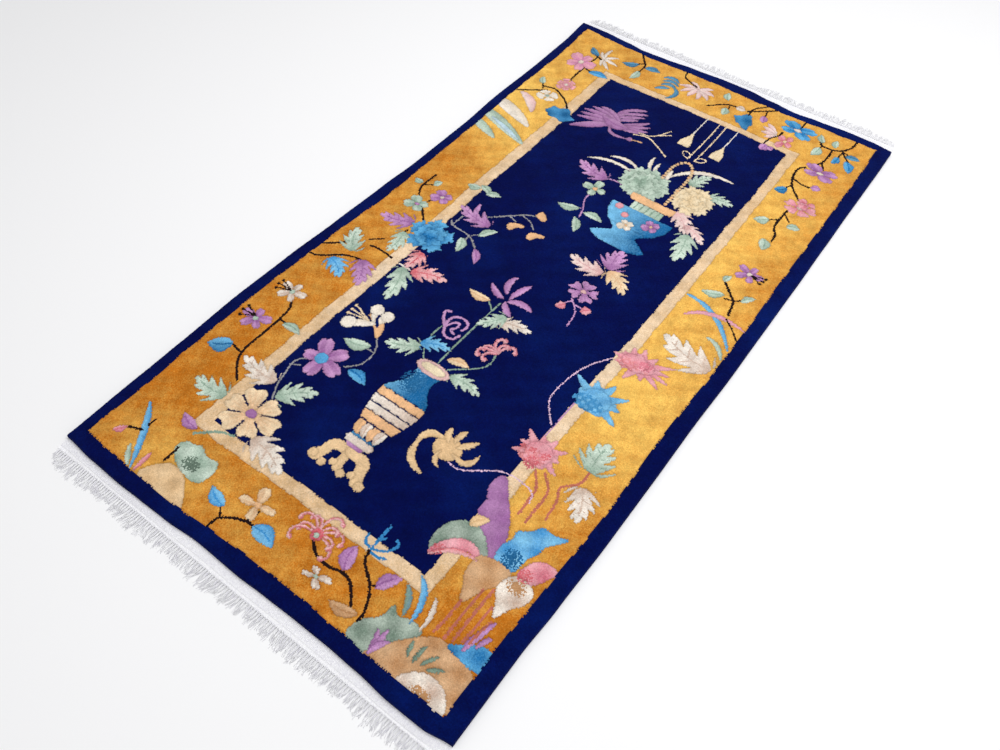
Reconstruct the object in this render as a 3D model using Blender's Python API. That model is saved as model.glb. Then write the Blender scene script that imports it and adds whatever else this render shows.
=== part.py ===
"""A hand-knotted wool rug with thick pile, a flat-woven cotton web and a cotton fringe at each end.

Metres, +Z up. The rug lies flat on the floor at z = 0, its length runs along Y, and the origin is the
middle of its footprint. The end towards -Y is called near and the end towards +Y far.
"""

import math
import random

import bmesh
import bpy
from mathutils import Matrix, Vector

# Driving dimensions of the knotted part
HALF_WIDTH = 0.456
HALF_LENGTH = 0.874
PILE_HEIGHT = 0.0125
PILE_RIM_RADIUS = 0.0045
PILE_RIM_STEPS = 2
CELLS_ACROSS = 32
PILE_CELLS_ALONG = 28
TOP_UNEVENNESS = 0.0005

# Driving dimensions of the web and the fringe
WEB_EDGE = 0.899
WEB_TAPER = 0.007
WEB_THICKNESS = 0.0026
CORD_WIDTH = 0.0030
CORD_THICKNESS = 0.0024
STRANDS = 148
STRAND_WIDTH = 0.0036
STRAND_TIP_WIDTH = 0.0018
STRAND_TIP_THICKNESS = 0.0014
FRINGE_LENGTH = 0.033
SHORTEST_STRAND = 0.74
LEAN = 0.006
CORNER_STRANDS = 7
GAP = 0.0003
MILLIMETRE = 0.001

# How far the side edges lie outside the nominal half width, in millimetres, at places along the rug
SIDE_DRIFT_COLUMNS = ("along", "left", "right")
SIDE_DRIFT = (
    (-875, -4, 4),
    (-700, 0, 4),
    (-600, 2, 8),
    (-450, 6, 11),
    (-300, 3, 11),
    (-150, -3, 10),
    (0, -7, 12),
    (120, -13, 11),
    (300, -14, 10),
    (450, -8, 8),
    (600, -10, 6),
    (750, -8, 5),
    (875, 0, 3),
)

# How far the two ends of the pile lie outside the nominal half length, in millimetres, across the rug
END_DRIFT_COLUMNS = ("across", "near", "far")
END_DRIFT = (
    (-456, 0, -2),
    (-380, 5, -2),
    (-300, 7, -8),
    (-250, 6, -15),
    (-180, 5, -12),
    (-100, 0, -4),
    (0, 2, 3),
    (60, 0, 3),
    (130, -1, -6),
    (200, -1, -14),
    (260, 1, -8),
    (340, 6, -2),
    (400, 6, -3),
    (456, -2, -10),
)

COLOURS = {
    "navy_wool": (0.004, 0.009, 0.075, 1.0),
    "bleached_cotton": (0.80, 0.79, 0.84, 1.0),
}


def clear_scene():
    """Removes whatever the scene already holds."""
    for old in list(bpy.data.objects):
        bpy.data.objects.remove(old, do_unlink=True)


def smooth_step(share):
    """0 to 1 with level ends."""
    return share * share * (3 - 2 * share)


def drift(rows, columns, column, place):
    """The named column of a table of millimetres at a place in metres, eased between its rows, in metres."""
    pick = columns.index(column)
    at = place / MILLIMETRE
    if at <= rows[0][0]:
        return rows[0][pick] * MILLIMETRE
    for before, after in zip(rows, rows[1:]):
        if at <= after[0]:
            share = smooth_step((at - before[0]) / (after[0] - before[0]))
            return (before[pick] + (after[pick] - before[pick]) * share) * MILLIMETRE
    return rows[-1][pick] * MILLIMETRE


def side_x(side, along):
    """The x of the left (-1) or right (+1) edge at that place along the rug."""
    column = "left" if side < 0 else "right"
    return side * (HALF_WIDTH + drift(SIDE_DRIFT, SIDE_DRIFT_COLUMNS, column, along))


def end_y(end, across):
    """The y of the pile's near (-1) or far (+1) edge at that place across the rug."""
    column = "near" if end < 0 else "far"
    return end * (HALF_LENGTH + drift(END_DRIFT, END_DRIFT_COLUMNS, column, across))


def plan_point(across, along):
    """Where a point of the true rectangle lies on the real, uneven rug; both arguments run from -1 to 1."""
    nominal_x = across * HALF_WIDTH
    nominal_y = along * HALF_LENGTH
    left, right = side_x(-1, nominal_y), side_x(1, nominal_y)
    near, far = end_y(-1, nominal_x), end_y(1, nominal_x)
    x = left + (right - left) * (across + 1) / 2
    y = near + (far - near) * (along + 1) / 2
    return x, y


def unevenness(x, y):
    """The slow rise and fall of the pile's surface."""
    waves = math.sin(9.0 * x + 3.0 * y) + math.sin(5.5 * y - 4.0 * x + 1.3)
    return TOP_UNEVENNESS * waves / 2


def cloth_material(name, roughness):
    """A plain cloth finish in the named colour."""
    material = bpy.data.materials.new(name)
    material.use_nodes = True
    shader = material.node_tree.nodes["Principled BSDF"]
    shader.inputs["Base Color"].default_value = COLOURS[name]
    shader.inputs["Roughness"].default_value = roughness
    shader.inputs["Metallic"].default_value = 0.0
    return material


def grid_slab(cells_across, cells_along, place, thickness):
    """A slab whose cells are laid out by place(across, along), each argument from 0 to 1, standing on z = 0."""
    bm = bmesh.new()
    bmesh.ops.create_grid(bm, x_segments=cells_across, y_segments=cells_along, size=0.5)
    for vertex in bm.verts:
        x, y = place(vertex.co.x + 0.5, vertex.co.y + 0.5)
        vertex.co = Vector((x, y, 0.0))
    grown = bmesh.ops.extrude_face_region(bm, geom=bm.faces[:], use_keep_orig=True)
    raised = [item for item in grown["geom"] if isinstance(item, bmesh.types.BMVert)]
    bmesh.ops.translate(bm, verts=raised, vec=(0.0, 0.0, thickness))
    bmesh.ops.recalc_face_normals(bm, faces=bm.faces[:])
    return bm


def finish_object(name, bm, material, collection):
    """Puts the shaped mesh into the scene as one named object."""
    mesh = bpy.data.meshes.new(name)
    bm.to_mesh(mesh)
    bm.free()
    mesh.shade_smooth()
    mesh.set_sharp_from_angle(angle=math.radians(35))
    mesh.materials.append(material)
    made = bpy.data.objects.new(name, mesh)
    collection.objects.link(made)
    return made


def make_pile(material, collection):
    """The knotted body: foundation and pile as one slab with a rounded rim."""
    half = PILE_HEIGHT / 2

    def place(across, along):
        return plan_point(2 * across - 1, 2 * along - 1)

    bm = grid_slab(CELLS_ACROSS, PILE_CELLS_ALONG, place, PILE_HEIGHT)
    rim = [
        edge
        for edge in bm.edges
        if all(vertex.co.z > half for vertex in edge.verts)
        and any(abs(face.normal.z) < 0.5 for face in edge.link_faces)
    ]
    bmesh.ops.bevel(
        bm, geom=rim, offset=PILE_RIM_RADIUS, segments=PILE_RIM_STEPS, profile=0.5, affect="EDGES"
    )
    for vertex in bm.verts:
        if vertex.co.z > half:
            vertex.co.z += unevenness(vertex.co.x, vertex.co.y) - TOP_UNEVENNESS
    return finish_object("rug_pile", bm, material, collection)


def make_web(end, name, material, collection):
    """The flat-woven band between the pile and the fringe. Its inner edge follows the pile's edge."""

    def place(across, along):
        x, pile_edge = plan_point(2 * across - 1, end)
        inner = pile_edge + end * GAP
        return x * (1 - WEB_TAPER * along), inner + (end * WEB_EDGE - inner) * along

    return finish_object(name, grid_slab(CELLS_ACROSS, 1, place, WEB_THICKNESS), material, collection)


def corner_taper(index):
    """Strands at the two corners are shorter."""
    from_corner = min(index, STRANDS - 1 - index)
    return 0.55 + 0.45 * smooth_step(min(1.0, from_corner / CORNER_STRANDS))


def strand_lengths(seed):
    """Uneven lengths whose longest is the fringe's length."""
    draw = random.Random(seed)
    share = [draw.uniform(SHORTEST_STRAND, 1.0) * corner_taper(i) for i in range(STRANDS)]
    longest = max(share)
    return [FRINGE_LENGTH * value / longest for value in share]


def strand_lean(index, seed):
    """How far a strand's tip lies to one side. It changes slowly, so neighbours never cross."""
    return LEAN * (math.sin(0.11 * index + seed) + 0.5 * math.sin(0.31 * index + 2.0 * seed)) / 1.5


def move_ring(face, shift, width, thickness):
    """Shifts a strand's end face and gives it a new width and thickness, its underside left on the floor."""
    centre = face.calc_center_median()
    for vertex in face.verts:
        side = 1 if vertex.co.x > centre.x else -1
        upper = vertex.co.z > centre.z
        vertex.co.x = centre.x + shift.x + side * width / 2
        vertex.co.y += shift.y
        vertex.co.z = thickness if upper else 0.0


def make_fringe(end, name, seed, material, collection):
    """A narrow twined cord with the loose warp ends growing out of it, lying on the floor."""
    left = side_x(-1, end * HALF_LENGTH) * (1 - WEB_TAPER)
    right = side_x(1, end * HALF_LENGTH) * (1 - WEB_TAPER)
    pitch = (right - left) / STRANDS
    columns = [left]
    for index in range(STRANDS):
        middle = left + (index + 0.5) * pitch
        columns += [middle - STRAND_WIDTH / 2, middle + STRAND_WIDTH / 2]
    columns.append(right)
    cells = len(columns) - 1
    inner = end * (WEB_EDGE + GAP)

    def place(across, along):
        return columns[round(across * cells)], inner + end * CORD_WIDTH * along

    bm = grid_slab(cells, 1, place, CORD_THICKNESS)
    outward = sorted(
        (face for face in bm.faces if face.normal.y * end > 0.9),
        key=lambda face: face.calc_center_median().x,
    )
    roots = outward[1::2]
    lengths = strand_lengths(seed)
    steps = (
        (0.45, 0.25, STRAND_WIDTH * 0.9, CORD_THICKNESS * 0.9),
        (0.55, 0.75, STRAND_TIP_WIDTH, STRAND_TIP_THICKNESS),
    )
    rings = roots
    for length_share, lean_share, width, thickness in steps:
        rings = bmesh.ops.extrude_discrete_faces(bm, faces=rings)["faces"]
        rings.sort(key=lambda face: face.calc_center_median().x)
        for index, face in enumerate(rings):
            shift = Vector(
                (strand_lean(index, seed) * lean_share, end * lengths[index] * length_share, 0.0)
            )
            move_ring(face, shift, width, thickness)
    bmesh.ops.recalc_face_normals(bm, faces=bm.faces[:])
    return finish_object(name, bm, material, collection)


def centre_on_origin(pieces):
    """Moves all pieces together so that the middle of the whole footprint is the origin."""
    corners = [vertex.co for piece in pieces for vertex in piece.data.vertices]
    middle_x = (min(c.x for c in corners) + max(c.x for c in corners)) / 2
    middle_y = (min(c.y for c in corners) + max(c.y for c in corners)) / 2
    for piece in pieces:
        piece.data.transform(Matrix.Translation((-middle_x, -middle_y, 0.0)))


def main():
    clear_scene()
    collection = bpy.data.collections.new("knotted_rug")
    bpy.context.scene.collection.children.link(collection)
    wool = cloth_material("navy_wool", 0.85)
    cotton = cloth_material("bleached_cotton", 0.9)
    pieces = [
        make_pile(wool, collection),
        make_web(-1, "web_near", cotton, collection),
        make_web(1, "web_far", cotton, collection),
        make_fringe(-1, "fringe_near", 3, cotton, collection),
        make_fringe(1, "fringe_far", 8, cotton, collection),
    ]
    centre_on_origin(pieces)


main()
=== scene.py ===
"""Looks of a hand-knotted art deco rug: knotted pile with carved motifs, woven end bands and cotton fringe.

The pattern is worked out knot by knot. Its tables are in centimetres on the rug's own plan: x to the
right, y towards the far end, both from the middle of the pile. Everything built is in metres.
"""

import bmesh
import bpy
import numpy as np
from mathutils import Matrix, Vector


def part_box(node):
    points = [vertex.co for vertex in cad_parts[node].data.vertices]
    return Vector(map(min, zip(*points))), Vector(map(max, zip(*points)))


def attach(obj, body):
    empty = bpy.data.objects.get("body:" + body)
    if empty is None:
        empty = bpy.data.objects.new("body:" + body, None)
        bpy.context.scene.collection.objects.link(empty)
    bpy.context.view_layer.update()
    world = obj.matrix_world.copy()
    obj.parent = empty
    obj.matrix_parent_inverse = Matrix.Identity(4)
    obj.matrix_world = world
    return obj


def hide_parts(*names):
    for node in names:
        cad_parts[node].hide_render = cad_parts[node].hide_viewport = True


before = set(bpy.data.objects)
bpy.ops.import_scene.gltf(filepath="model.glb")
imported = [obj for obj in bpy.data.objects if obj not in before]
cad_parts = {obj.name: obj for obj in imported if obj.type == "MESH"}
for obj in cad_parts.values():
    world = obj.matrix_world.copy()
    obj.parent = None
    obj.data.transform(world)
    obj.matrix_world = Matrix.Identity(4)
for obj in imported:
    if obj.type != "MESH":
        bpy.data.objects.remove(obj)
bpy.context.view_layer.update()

bl_info = {
    "name": "Art deco rug",
    "version": (1, 0, 0),
    "blender": (4, 5, 0),
    "location": "3D View > Sidebar > Rug",
    "description": "Builds the pile, the woven bands and the fringe of a hand-knotted rug",
    "category": "Object",
}

CM = 0.01
MM = 0.001
BODY = "root"
NODES = {"pile": "rug_pile", "web": "web_{}", "fringe": "fringe_{}"}
ENDS = (("near", -1), ("far", 1))
SIDES = (("left", -1), ("right", 1))

# The pile's nominal half size in centimetres
HALF_WIDTH = 45.6
HALF_LENGTH = 87.4

# The space between the pile and a woven band, how far above the floor the pile's walls end, how far below its
# top its rim ends, and the cells of the knotted back across and along
GAP = 0.3 * MM
WALL_LIFT = 0.3 * MM
RIM_DEPTH = 3 * MM
BACK_CELLS = (120, 220)

# The warps across a woven band, and the share of its depth at which its raised line runs
WARPS = 360
LINE_SHARE = 0.70

# Loose warp ends: how many lie together in a tuft, how many are shorter towards a corner, how far they reach
# into the band and how far they stay from its sides
TUFT = 4
CORNER_STRANDS = 14
ROOT_OVERLAP = 1.5 * MM
SIDE_INSET = 2 * MM

# How far each side edge lies outside the nominal half width, in millimetres
SIDE_DRIFT_COLUMNS = ("along", "left", "right")
SIDE_DRIFT = (
    (-875, -4, 4),
    (-700, 0, 4),
    (-600, 2, 8),
    (-450, 6, 11),
    (-300, 3, 11),
    (-150, -3, 10),
    (0, -7, 12),
    (120, -13, 11),
    (300, -14, 10),
    (450, -8, 8),
    (600, -10, 6),
    (750, -8, 5),
    (875, 0, 3),
)

# How far each end of the pile lies outside the nominal half length, in millimetres
END_DRIFT_COLUMNS = ("across", "near", "far")
END_DRIFT = (
    (-456, 0, -2),
    (-380, 5, -2),
    (-300, 7, -8),
    (-250, 6, -15),
    (-180, 5, -12),
    (-100, 0, -4),
    (0, 2, 3),
    (60, 0, 3),
    (130, -1, -6),
    (200, -1, -14),
    (260, 1, -8),
    (340, 6, -2),
    (400, 6, -3),
    (456, -2, -10),
)

# Where the straight edges of the pattern run, in centimetres, at places along the rug
BAND_SIDES_COLUMNS = ("y", "gold_left", "gold_right", "guard_left", "guard_right", "field_left", "field_right")
BAND_SIDES = (
    (-85.0, -42.9, 42.4, -29.0, 28.0, -26.0, 25.4),
    (-70.0, -42.7, 42.5, -29.0, 28.0, -26.0, 25.4),
    (-60.0, -43.2, 42.9, -29.0, 28.2, -26.0, 25.4),
    (-40.0, -43.3, 43.5, -29.0, 28.2, -26.0, 25.3),
    (-20.0, -42.7, 43.1, -28.4, 28.4, -25.4, 25.6),
    (0.0, -41.7, 43.6, -28.2, 28.7, -25.1, 26.0),
    (15.0, -41.8, 43.6, -28.3, 28.7, -25.4, 26.0),
    (30.0, -41.8, 43.3, -28.1, 28.6, -25.1, 26.0),
    (50.0, -42.2, 43.2, -28.0, 28.4, -24.9, 26.0),
    (70.0, -42.1, 43.0, -28.1, 28.2, -25.2, 25.5),
    (85.0, -42.9, 42.6, -28.3, 28.0, -25.2, 25.5),
)
BAND_ENDS_COLUMNS = ("x", "gold_near", "gold_far", "guard_near", "guard_far", "field_near", "field_far")
BAND_ENDS = (
    (-43.0, -84.5, 85.1, -71.5, 71.3, -68.7, 69.0),
    (-30.0, -85.0, 84.3, -71.5, 71.3, -68.7, 69.0),
    (-20.0, -85.2, 83.9, -71.6, 71.4, -68.8, 69.2),
    (-10.0, -84.6, 84.3, -71.4, 71.5, -68.6, 69.4),
    (0.0, -84.2, 84.5, -71.4, 71.6, -68.6, 69.7),
    (10.0, -84.1, 84.0, -71.4, 71.6, -68.7, 69.8),
    (20.0, -84.4, 83.8, -71.5, 71.4, -68.7, 69.5),
    (30.0, -84.8, 84.3, -71.6, 71.4, -68.7, 69.5),
    (43.0, -84.8, 84.6, -71.6, 71.5, -68.7, 69.5),
)

# Which shares across and along the pile the straight edges of the pattern are knotted at
COLUMN_SHARES = (-1, -0.935, -0.622, -0.558, 0.558, 0.622, 0.935, 1)
ROW_SHARES = (-1, -0.970, -0.817, -0.788, 0.788, 0.817, 0.970, 1)

# Plain leaves: centre, length, width, heading in degrees anticlockwise from +x, tone
LEAF_COLUMNS = ("x", "y", "length", "width", "heading", "tone")
LEAVES = (
    # far border
    (-35.2, 77.2, 4.4, 2.0, 145, "slate_blue"),
    (-28.8, 68.8, 5.6, 2.4, 5, "blue"),
    (-24.5, 78.3, 4.6, 2.2, 205, "slate_blue"),
    (-18.3, 79.6, 4.4, 2.2, 5, "slate_blue"),
    (-21.0, 74.7, 4.2, 2.2, -95, "sage"),
    (3.2, 81.6, 3.4, 2.0, 110, "sage"),
    (5.4, 75.4, 3.2, 2.2, -80, "sage"),
    (8.3, 78.9, 2.6, 2.2, 0, "white"),
    (14.9, 78.4, 2.8, 2.0, -70, "lilac"),
    (19.8, 68.4, 2.8, 2.6, -100, "lilac"),
    (21.4, 68.9, 1.8, 1.8, -40, "lilac"),
    (30.0, 80.4, 3.4, 1.8, 120, "sage"),
    (33.7, 80.5, 3.0, 1.8, 100, "sage"),
    (30.9, 74.9, 4.0, 2.4, -100, "sage"),
    (39.2, 77.9, 3.4, 2.0, 10, "slate_blue"),
    (36.1, 74.6, 3.2, 1.9, -100, "blue"),
    (39.6, 74.0, 4.6, 2.4, -60, "blue"),
    # right border, far to near
    (36.6, 62.2, 2.4, 2.2, 10, "lilac"),
    (30.2, 56.8, 3.2, 2.6, 220, "deep_blue"),
    (38.2, 46.6, 3.0, 2.2, 15, "sage"),
    (31.2, 44.6, 3.6, 2.6, 215, "sage"),
    (35.2, 37.6, 3.8, 2.6, -70, "sage"),
    (33.7, 23.2, 2.4, 1.6, 70, "sage"),
    (33.2, 17.5, 5.0, 2.2, 200, "sage"),
    (40.2, 20.3, 3.4, 1.6, 50, "sage"),
    # near border
    (13.1, -74.0, 5.0, 3.0, 105, "lilac"),
    (21.4, -73.3, 4.8, 2.6, 55, "lilac"),
    (18.4, -81.4, 5.6, 2.2, 190, "rock"),
    (-13.4, -79.5, 5.0, 2.6, 160, "sky"),
    (-1.3, -79.9, 5.6, 3.4, -10, "sky"),
    (-38.6, -80.5, 2.8, 1.5, 230, "pink"),
    (-29.6, -71.6, 4.8, 2.3, 165, "lilac"),
    # left border, near to far
    (-39.1, -55.2, 5.2, 3.8, 215, "bowl"),
    (-30.6, -43.6, 4.8, 2.0, 0, "sage"),
    (-39.3, 7.1, 2.6, 1.7, 170, "sage"),
    (-35.0, 9.0, 2.2, 2.0, 60, "sage"),
    (-27.6, 13.3, 3.4, 2.2, 190, "sage"),
    (-24.6, 14.2, 4.0, 1.8, -20, "sage"),
    (-22.2, 13.8, 3.6, 1.8, 20, "sage"),
    (-39.0, 57.8, 3.2, 1.8, 120, "sage"),
    # field, far to near
    (-6.4, 21.3, 5.4, 2.3, 195, "sage"),
    (0.2, 21.8, 5.0, 2.1, -5, "sage"),
    (-1.7, 17.2, 5.0, 2.0, -60, "sage"),
    (-15.6, 2.8, 4.6, 1.9, 55, "sage"),
    (-18.3, -3.8, 4.6, 2.2, -70, "sage"),
    (-13.4, -4.7, 4.8, 1.9, -55, "lilac"),
    (14.6, -3.2, 2.4, 2.2, 45, "pink"),
    (9.4, -5.0, 2.2, 2.1, 230, "pink"),
    (-17.4, -38.6, 6.0, 2.8, 195, "sage"),
    (-11.6, -44.7, 5.2, 2.6, -10, "blue"),
    (-5.8, -13.2, 5.4, 2.1, 180, "cream"),
    (2.0, -30.0, 5.0, 2.0, 10, "cream"),
)

# Leaves and buds cut into points, in the same columns: x and y are the root, width is against a plain leaf
CUT_LEAVES = (
    (42.8, -1.6, 12.4, 0.95, 165, "white"),
    (-23.4, -55.3, 9.6, 0.85, 174, "white"),
    (-20.8, -57.9, 8.2, 1.0, 42, "sage"),
    (-28.6, -63.4, 8.0, 1.1, 182, "sage"),
    (-38.2, -24.0, 6.4, 1.2, -30, "sky"),
    (-32.2, -20.4, 7.6, 1.15, -58, "lilac"),
    (-35.8, -19.8, 7.6, 1.1, 122, "sage"),
    (-30.6, -8.2, 7.0, 1.0, -84, "sage"),
    (-30.8, -4.6, 8.4, 0.95, 196, "lilac"),
    (-4.4, 34.6, 9.2, 0.85, 166, "lilac"),
    (12.6, 44.6, 6.6, 1.0, 68, "sage"),
    (17.4, 43.4, 6.6, 1.0, 10, "sage"),
    (14.4, 35.2, 7.6, 1.05, -48, "blush"),
    (18.4, 32.2, 6.8, 0.8, -28, "blush"),
    (20.0, 29.8, 9.2, 0.95, -80, "sage"),
    (12.1, 9.8, 6.8, 1.45, 94, "lilac"),
    (11.6, 8.0, 8.8, 0.85, 176, "blush"),
    (12.2, 9.4, 7.4, 1.05, -32, "cream"),
    (-16.6, 4.8, 9.6, 0.75, 170, "lilac"),
    (-23.4, -10.8, 5.8, 1.3, -90, "rose"),
    (-21.6, -16.9, 8.4, 0.9, 18, "rose"),
    (-23.8, -16.8, 9.8, 0.85, -72, "sage"),
    (1.8, -16.8, 7.4, 0.8, 14, "white"),
    (2.4, -14.6, 6.4, 1.0, 232, "sage"),
    (2.6, -33.6, 7.6, 0.75, -3, "sage"),
    (36.7, -35.4, 7.4, 1.6, 92, "sage"),
    (37.2, -38.8, 7.2, 1.3, -66, "white"),
    (-6.8, -31.2, 7.4, 0.95, 208, "sage"),
    (-7.4, -30.6, 6.4, 0.95, 20, "sky"),
    (-17.4, -67.2, 10.0, 0.95, -14, "white"),
)

# Bursts of pointed petals: centre, solid middle, reach, first and last heading, points, tone, heart
BURST_COLUMNS = ("x", "y", "body", "reach", "squash", "first", "last", "points", "tone", "heart")
BURSTS = (
    (31.2, -8.6, 4.0, 8.2, 0.60, -100, 100, 8, "pink", "rose"),
    (29.6, -8.6, 3.4, 5.0, 0.75, 112, 250, 5, "pink", "rose"),
    (28.6, -21.2, 4.2, 7.4, 0.85, -30, 148, 6, "sky", "blue"),
    (26.8, -37.6, 3.7, 5.9, 0.9, -25, 205, 8, "pink", "rose"),
)

# Whole flowers: centre, radius, height against width, petals, turn, how far the petals part, dent at
# each petal's tip, tone, heart
FLOWER_COLUMNS = ("x", "y", "radius", "squash", "petals", "turn", "notch", "dent", "tone", "heart")
FLOWERS = (
    (36.6, 53.4, 4.0, 0.7, 5, 18, 0.34, 0.14, "pink", "white"),
    (11.2, 1.0, 4.0, 0.8, 5, 90, 0.42, 0.24, "lilac", "blush"),
    (-34.2, 52.8, 2.9, 0.8, 4, 45, 0.16, 0.0, "pearl", "sage"),
    (-33.0, 59.8, 2.6, 1.0, 6, 0, 0.10, 0.0, "pink", "white"),
    (-21.6, -63.4, 6.9, 0.85, 6, 0, 0.42, 0.14, "cream", "lilac"),
)

# Flowers of loose rounded petals: centre, radius, height against width, petals, first heading, petal width, tone, heart
LOOSE_COLUMNS = ("x", "y", "radius", "squash", "petals", "first", "slim", "tone", "heart")
LOOSE_FLOWERS = (
    (-35.6, 70.8, 3.9, 1.1, 5, 75, 0.75, "mauve", "white"),
    (23.8, 79.6, 5.0, 0.62, 4, 38, 0.85, "blue", "white"),
    (35.2, 67.8, 4.6, 0.6, 4, 40, 0.85, "lilac", "white"),
    (37.2, 55.6, 2.4, 0.8, 3, 20, 1.0, "pink", "pink"),
    (23.2, 73.5, 2.4, 1.3, 4, 60, 0.75, "pink", "cream"),
    (37.0, 27.2, 3.1, 0.95, 5, 78, 0.62, "lilac", "white"),
    (-4.7, 30.1, 3.1, 0.95, 4, 0, 0.75, "sage", "peach"),
    (-34.4, 0.6, 3.2, 0.8, 4, 35, 0.95, "sage", "lilac"),
    (-31.1, 5.8, 2.8, 0.85, 4, 40, 1.0, "lilac", "white"),
    (-20.0, -45.4, 5.0, 0.95, 5, 52, 0.68, "lilac", "blue"),
    (-38.4, -46.2, 3.4, 0.9, 5, 100, 0.66, "lilac", "sage"),
    (-37.6, -36.4, 3.2, 0.95, 5, 85, 0.58, "white", "sage"),
    (-6.4, -76.4, 4.1, 0.8, 4, 12, 0.55, "cream", "peach"),
    (11.0, -79.9, 3.0, 0.62, 4, 208, 0.6, "white", "sage"),
)

# Flowers of thin curled petals: root, radius, petals, first and last heading, thickness, heart radius, tone
CURL_COLUMNS = ("x", "y", "radius", "petals", "first", "last", "width", "heart", "tone")
CURLS = (
    (6.6, -23.6, 4.2, 6, 70, 215, 0.8, 0.0, "pink"),
    (5.8, -74.2, 5.2, 9, -10, 190, 0.6, 1.2, "rose"),
)

# Ruffled full flowers: centre, radius, height against width, outer petals, turn, tone
PEONY_COLUMNS = ("x", "y", "radius", "squash", "lobes", "turn", "tone")
PEONIES = (
    (15.6, 40.4, 4.8, 1.05, 7, 20, "yellow"),
    (3.6, 38.8, 5.8, 0.92, 8, 0, "sage"),
    (-25.4, -5.6, 5.3, 0.95, 5, 98, "blue"),
)

# Broad shapes sketched by a few corners that are then rounded off: tone and corners
SHAPES = (
    ("sage_deep", (
        (21, -85), (21.8, -80.6), (24.4, -79), (24.6, -75), (26.4, -77.2), (28.6, -75.8), (32, -76.4), (30.4, -80),
        (28, -84.9),
    )),
    ("rock", (
        (25.6, -85), (27.4, -82.4), (28.6, -80.6), (31.2, -77.6), (34, -75.4), (37.4, -75.8), (43.6, -77.2),
        (43.6, -86), (26, -86),
    )),
    ("blue", ((35.4, -75.8), (38.4, -74), (40.4, -72.4), (43.8, -72.6), (43.8, -77), (37.2, -76.4))),
    ("peach", ((-10.2, 16.4), (-8.4, 15.4), (-7.2, 13.9), (-8.4, 13.2), (-9.6, 13.8), (-10.6, 13.4))),
    ("peach", ((-14.0, 8.6), (-12.6, 9.4), (-10.4, 9.9), (-10.2, 9.0), (-11.8, 8.2), (-12.2, 6.6), (-13.6, 6.8))),
    ("peach", ((-8.6, 8.6), (-7.2, 9.4), (-4.6, 9.9), (-4.8, 8.9), (-6.2, 8.2), (-6.8, 6.6), (-8.2, 6.8))),
    ("guard", ((-29.8, -86), (-26.8, -80.6), (-24, -79.4), (-21, -80.2), (-18.6, -82.4), (-15.6, -86))),
    ("sage", (
        (-27.8, -77), (-26.6, -74.6), (-24.6, -74.6), (-23.4, -73.6), (-21, -75.2), (-18.2, -74.2), (-17.2, -77),
        (-18, -80.4), (-24, -79.8),
    )),
    ("deep_blue", (
        (10.6, 78.2), (12.0, 78.0), (12.8, 76.2), (13.9, 74.6), (13.0, 73.4), (13.8, 71.6), (12.0, 71.8),
        (10.8, 73.2), (9.6, 73.2), (8.8, 74.8), (7.8, 75.4), (9.8, 76.4),
    )),
    ("deep_blue", (
        (-31.6, 47.6), (-30.6, 49.0), (-30.4, 50.8), (-28.6, 50.0), (-27.2, 51.6), (-25.6, 51.2), (-25.0, 49.4),
        (-22.4, 48.6), (-24.2, 47.2), (-25.2, 45.6), (-27.2, 46.6), (-29.4, 45.9), (-30.0, 47.0),
    )),
    ("lilac_deep", (
        (23.6, -46), (25.2, -44.8), (27.6, -48.2), (29.8, -50.4), (31.5, -53), (33.4, -57), (33.4, -60.2),
        (30.6, -59.4), (27.4, -57.6), (26.4, -55), (24.6, -53.4), (25.2, -51), (23.6, -49.2),
    )),
    ("sky", (
        (32.6, -60), (32.2, -56.4), (33.4, -54.6), (32.8, -52.6), (35, -51.6), (36, -49.2), (38.6, -49.8),
        (41.8, -48.4), (39.8, -51), (38.4, -52.6), (38.6, -54.4), (37.2, -56), (37.4, -60),
    )),
    ("pink", ((37.3, -60), (37.8, -57.4), (39.0, -55), (41.8, -54.4), (43.4, -55.2), (42.2, -57.4), (40.8, -60))),
    ("sage_deep", (
        (22.6, -65), (21.4, -61.5), (22.4, -58.4), (24.2, -56.6), (26.6, -55.8), (29.4, -57), (32.6, -60.4),
        (29.2, -60.4), (26.4, -59.6), (24.8, -61.2), (23.4, -63.6),
    )),
    ("pink", (
        (22.6, -64.6), (23.8, -61.8), (25.4, -60), (27.8, -59), (30.4, -59.8), (31.8, -61.4), (28.4, -61),
        (26.6, -62), (24.6, -64), (23.4, -65.8),
    )),
    ("rock", (
        (30, -60.2), (33, -59.3), (37.2, -59.3), (36.8, -62.4), (34.8, -65), (33, -70), (31.6, -66.2),
        (30.2, -64.4),
    )),
    ("white", (
        (36.2, -62), (37.2, -59.4), (42.0, -59.6), (42.2, -63), (40.2, -65), (39, -68.8), (37.6, -65.2),
        (36.2, -63.6),
    )),
    ("white", ((32, -85.6), (33.6, -82.8), (36.3, -81), (38.8, -81.2), (41, -82.2), (43, -85.6))),
)

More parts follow.
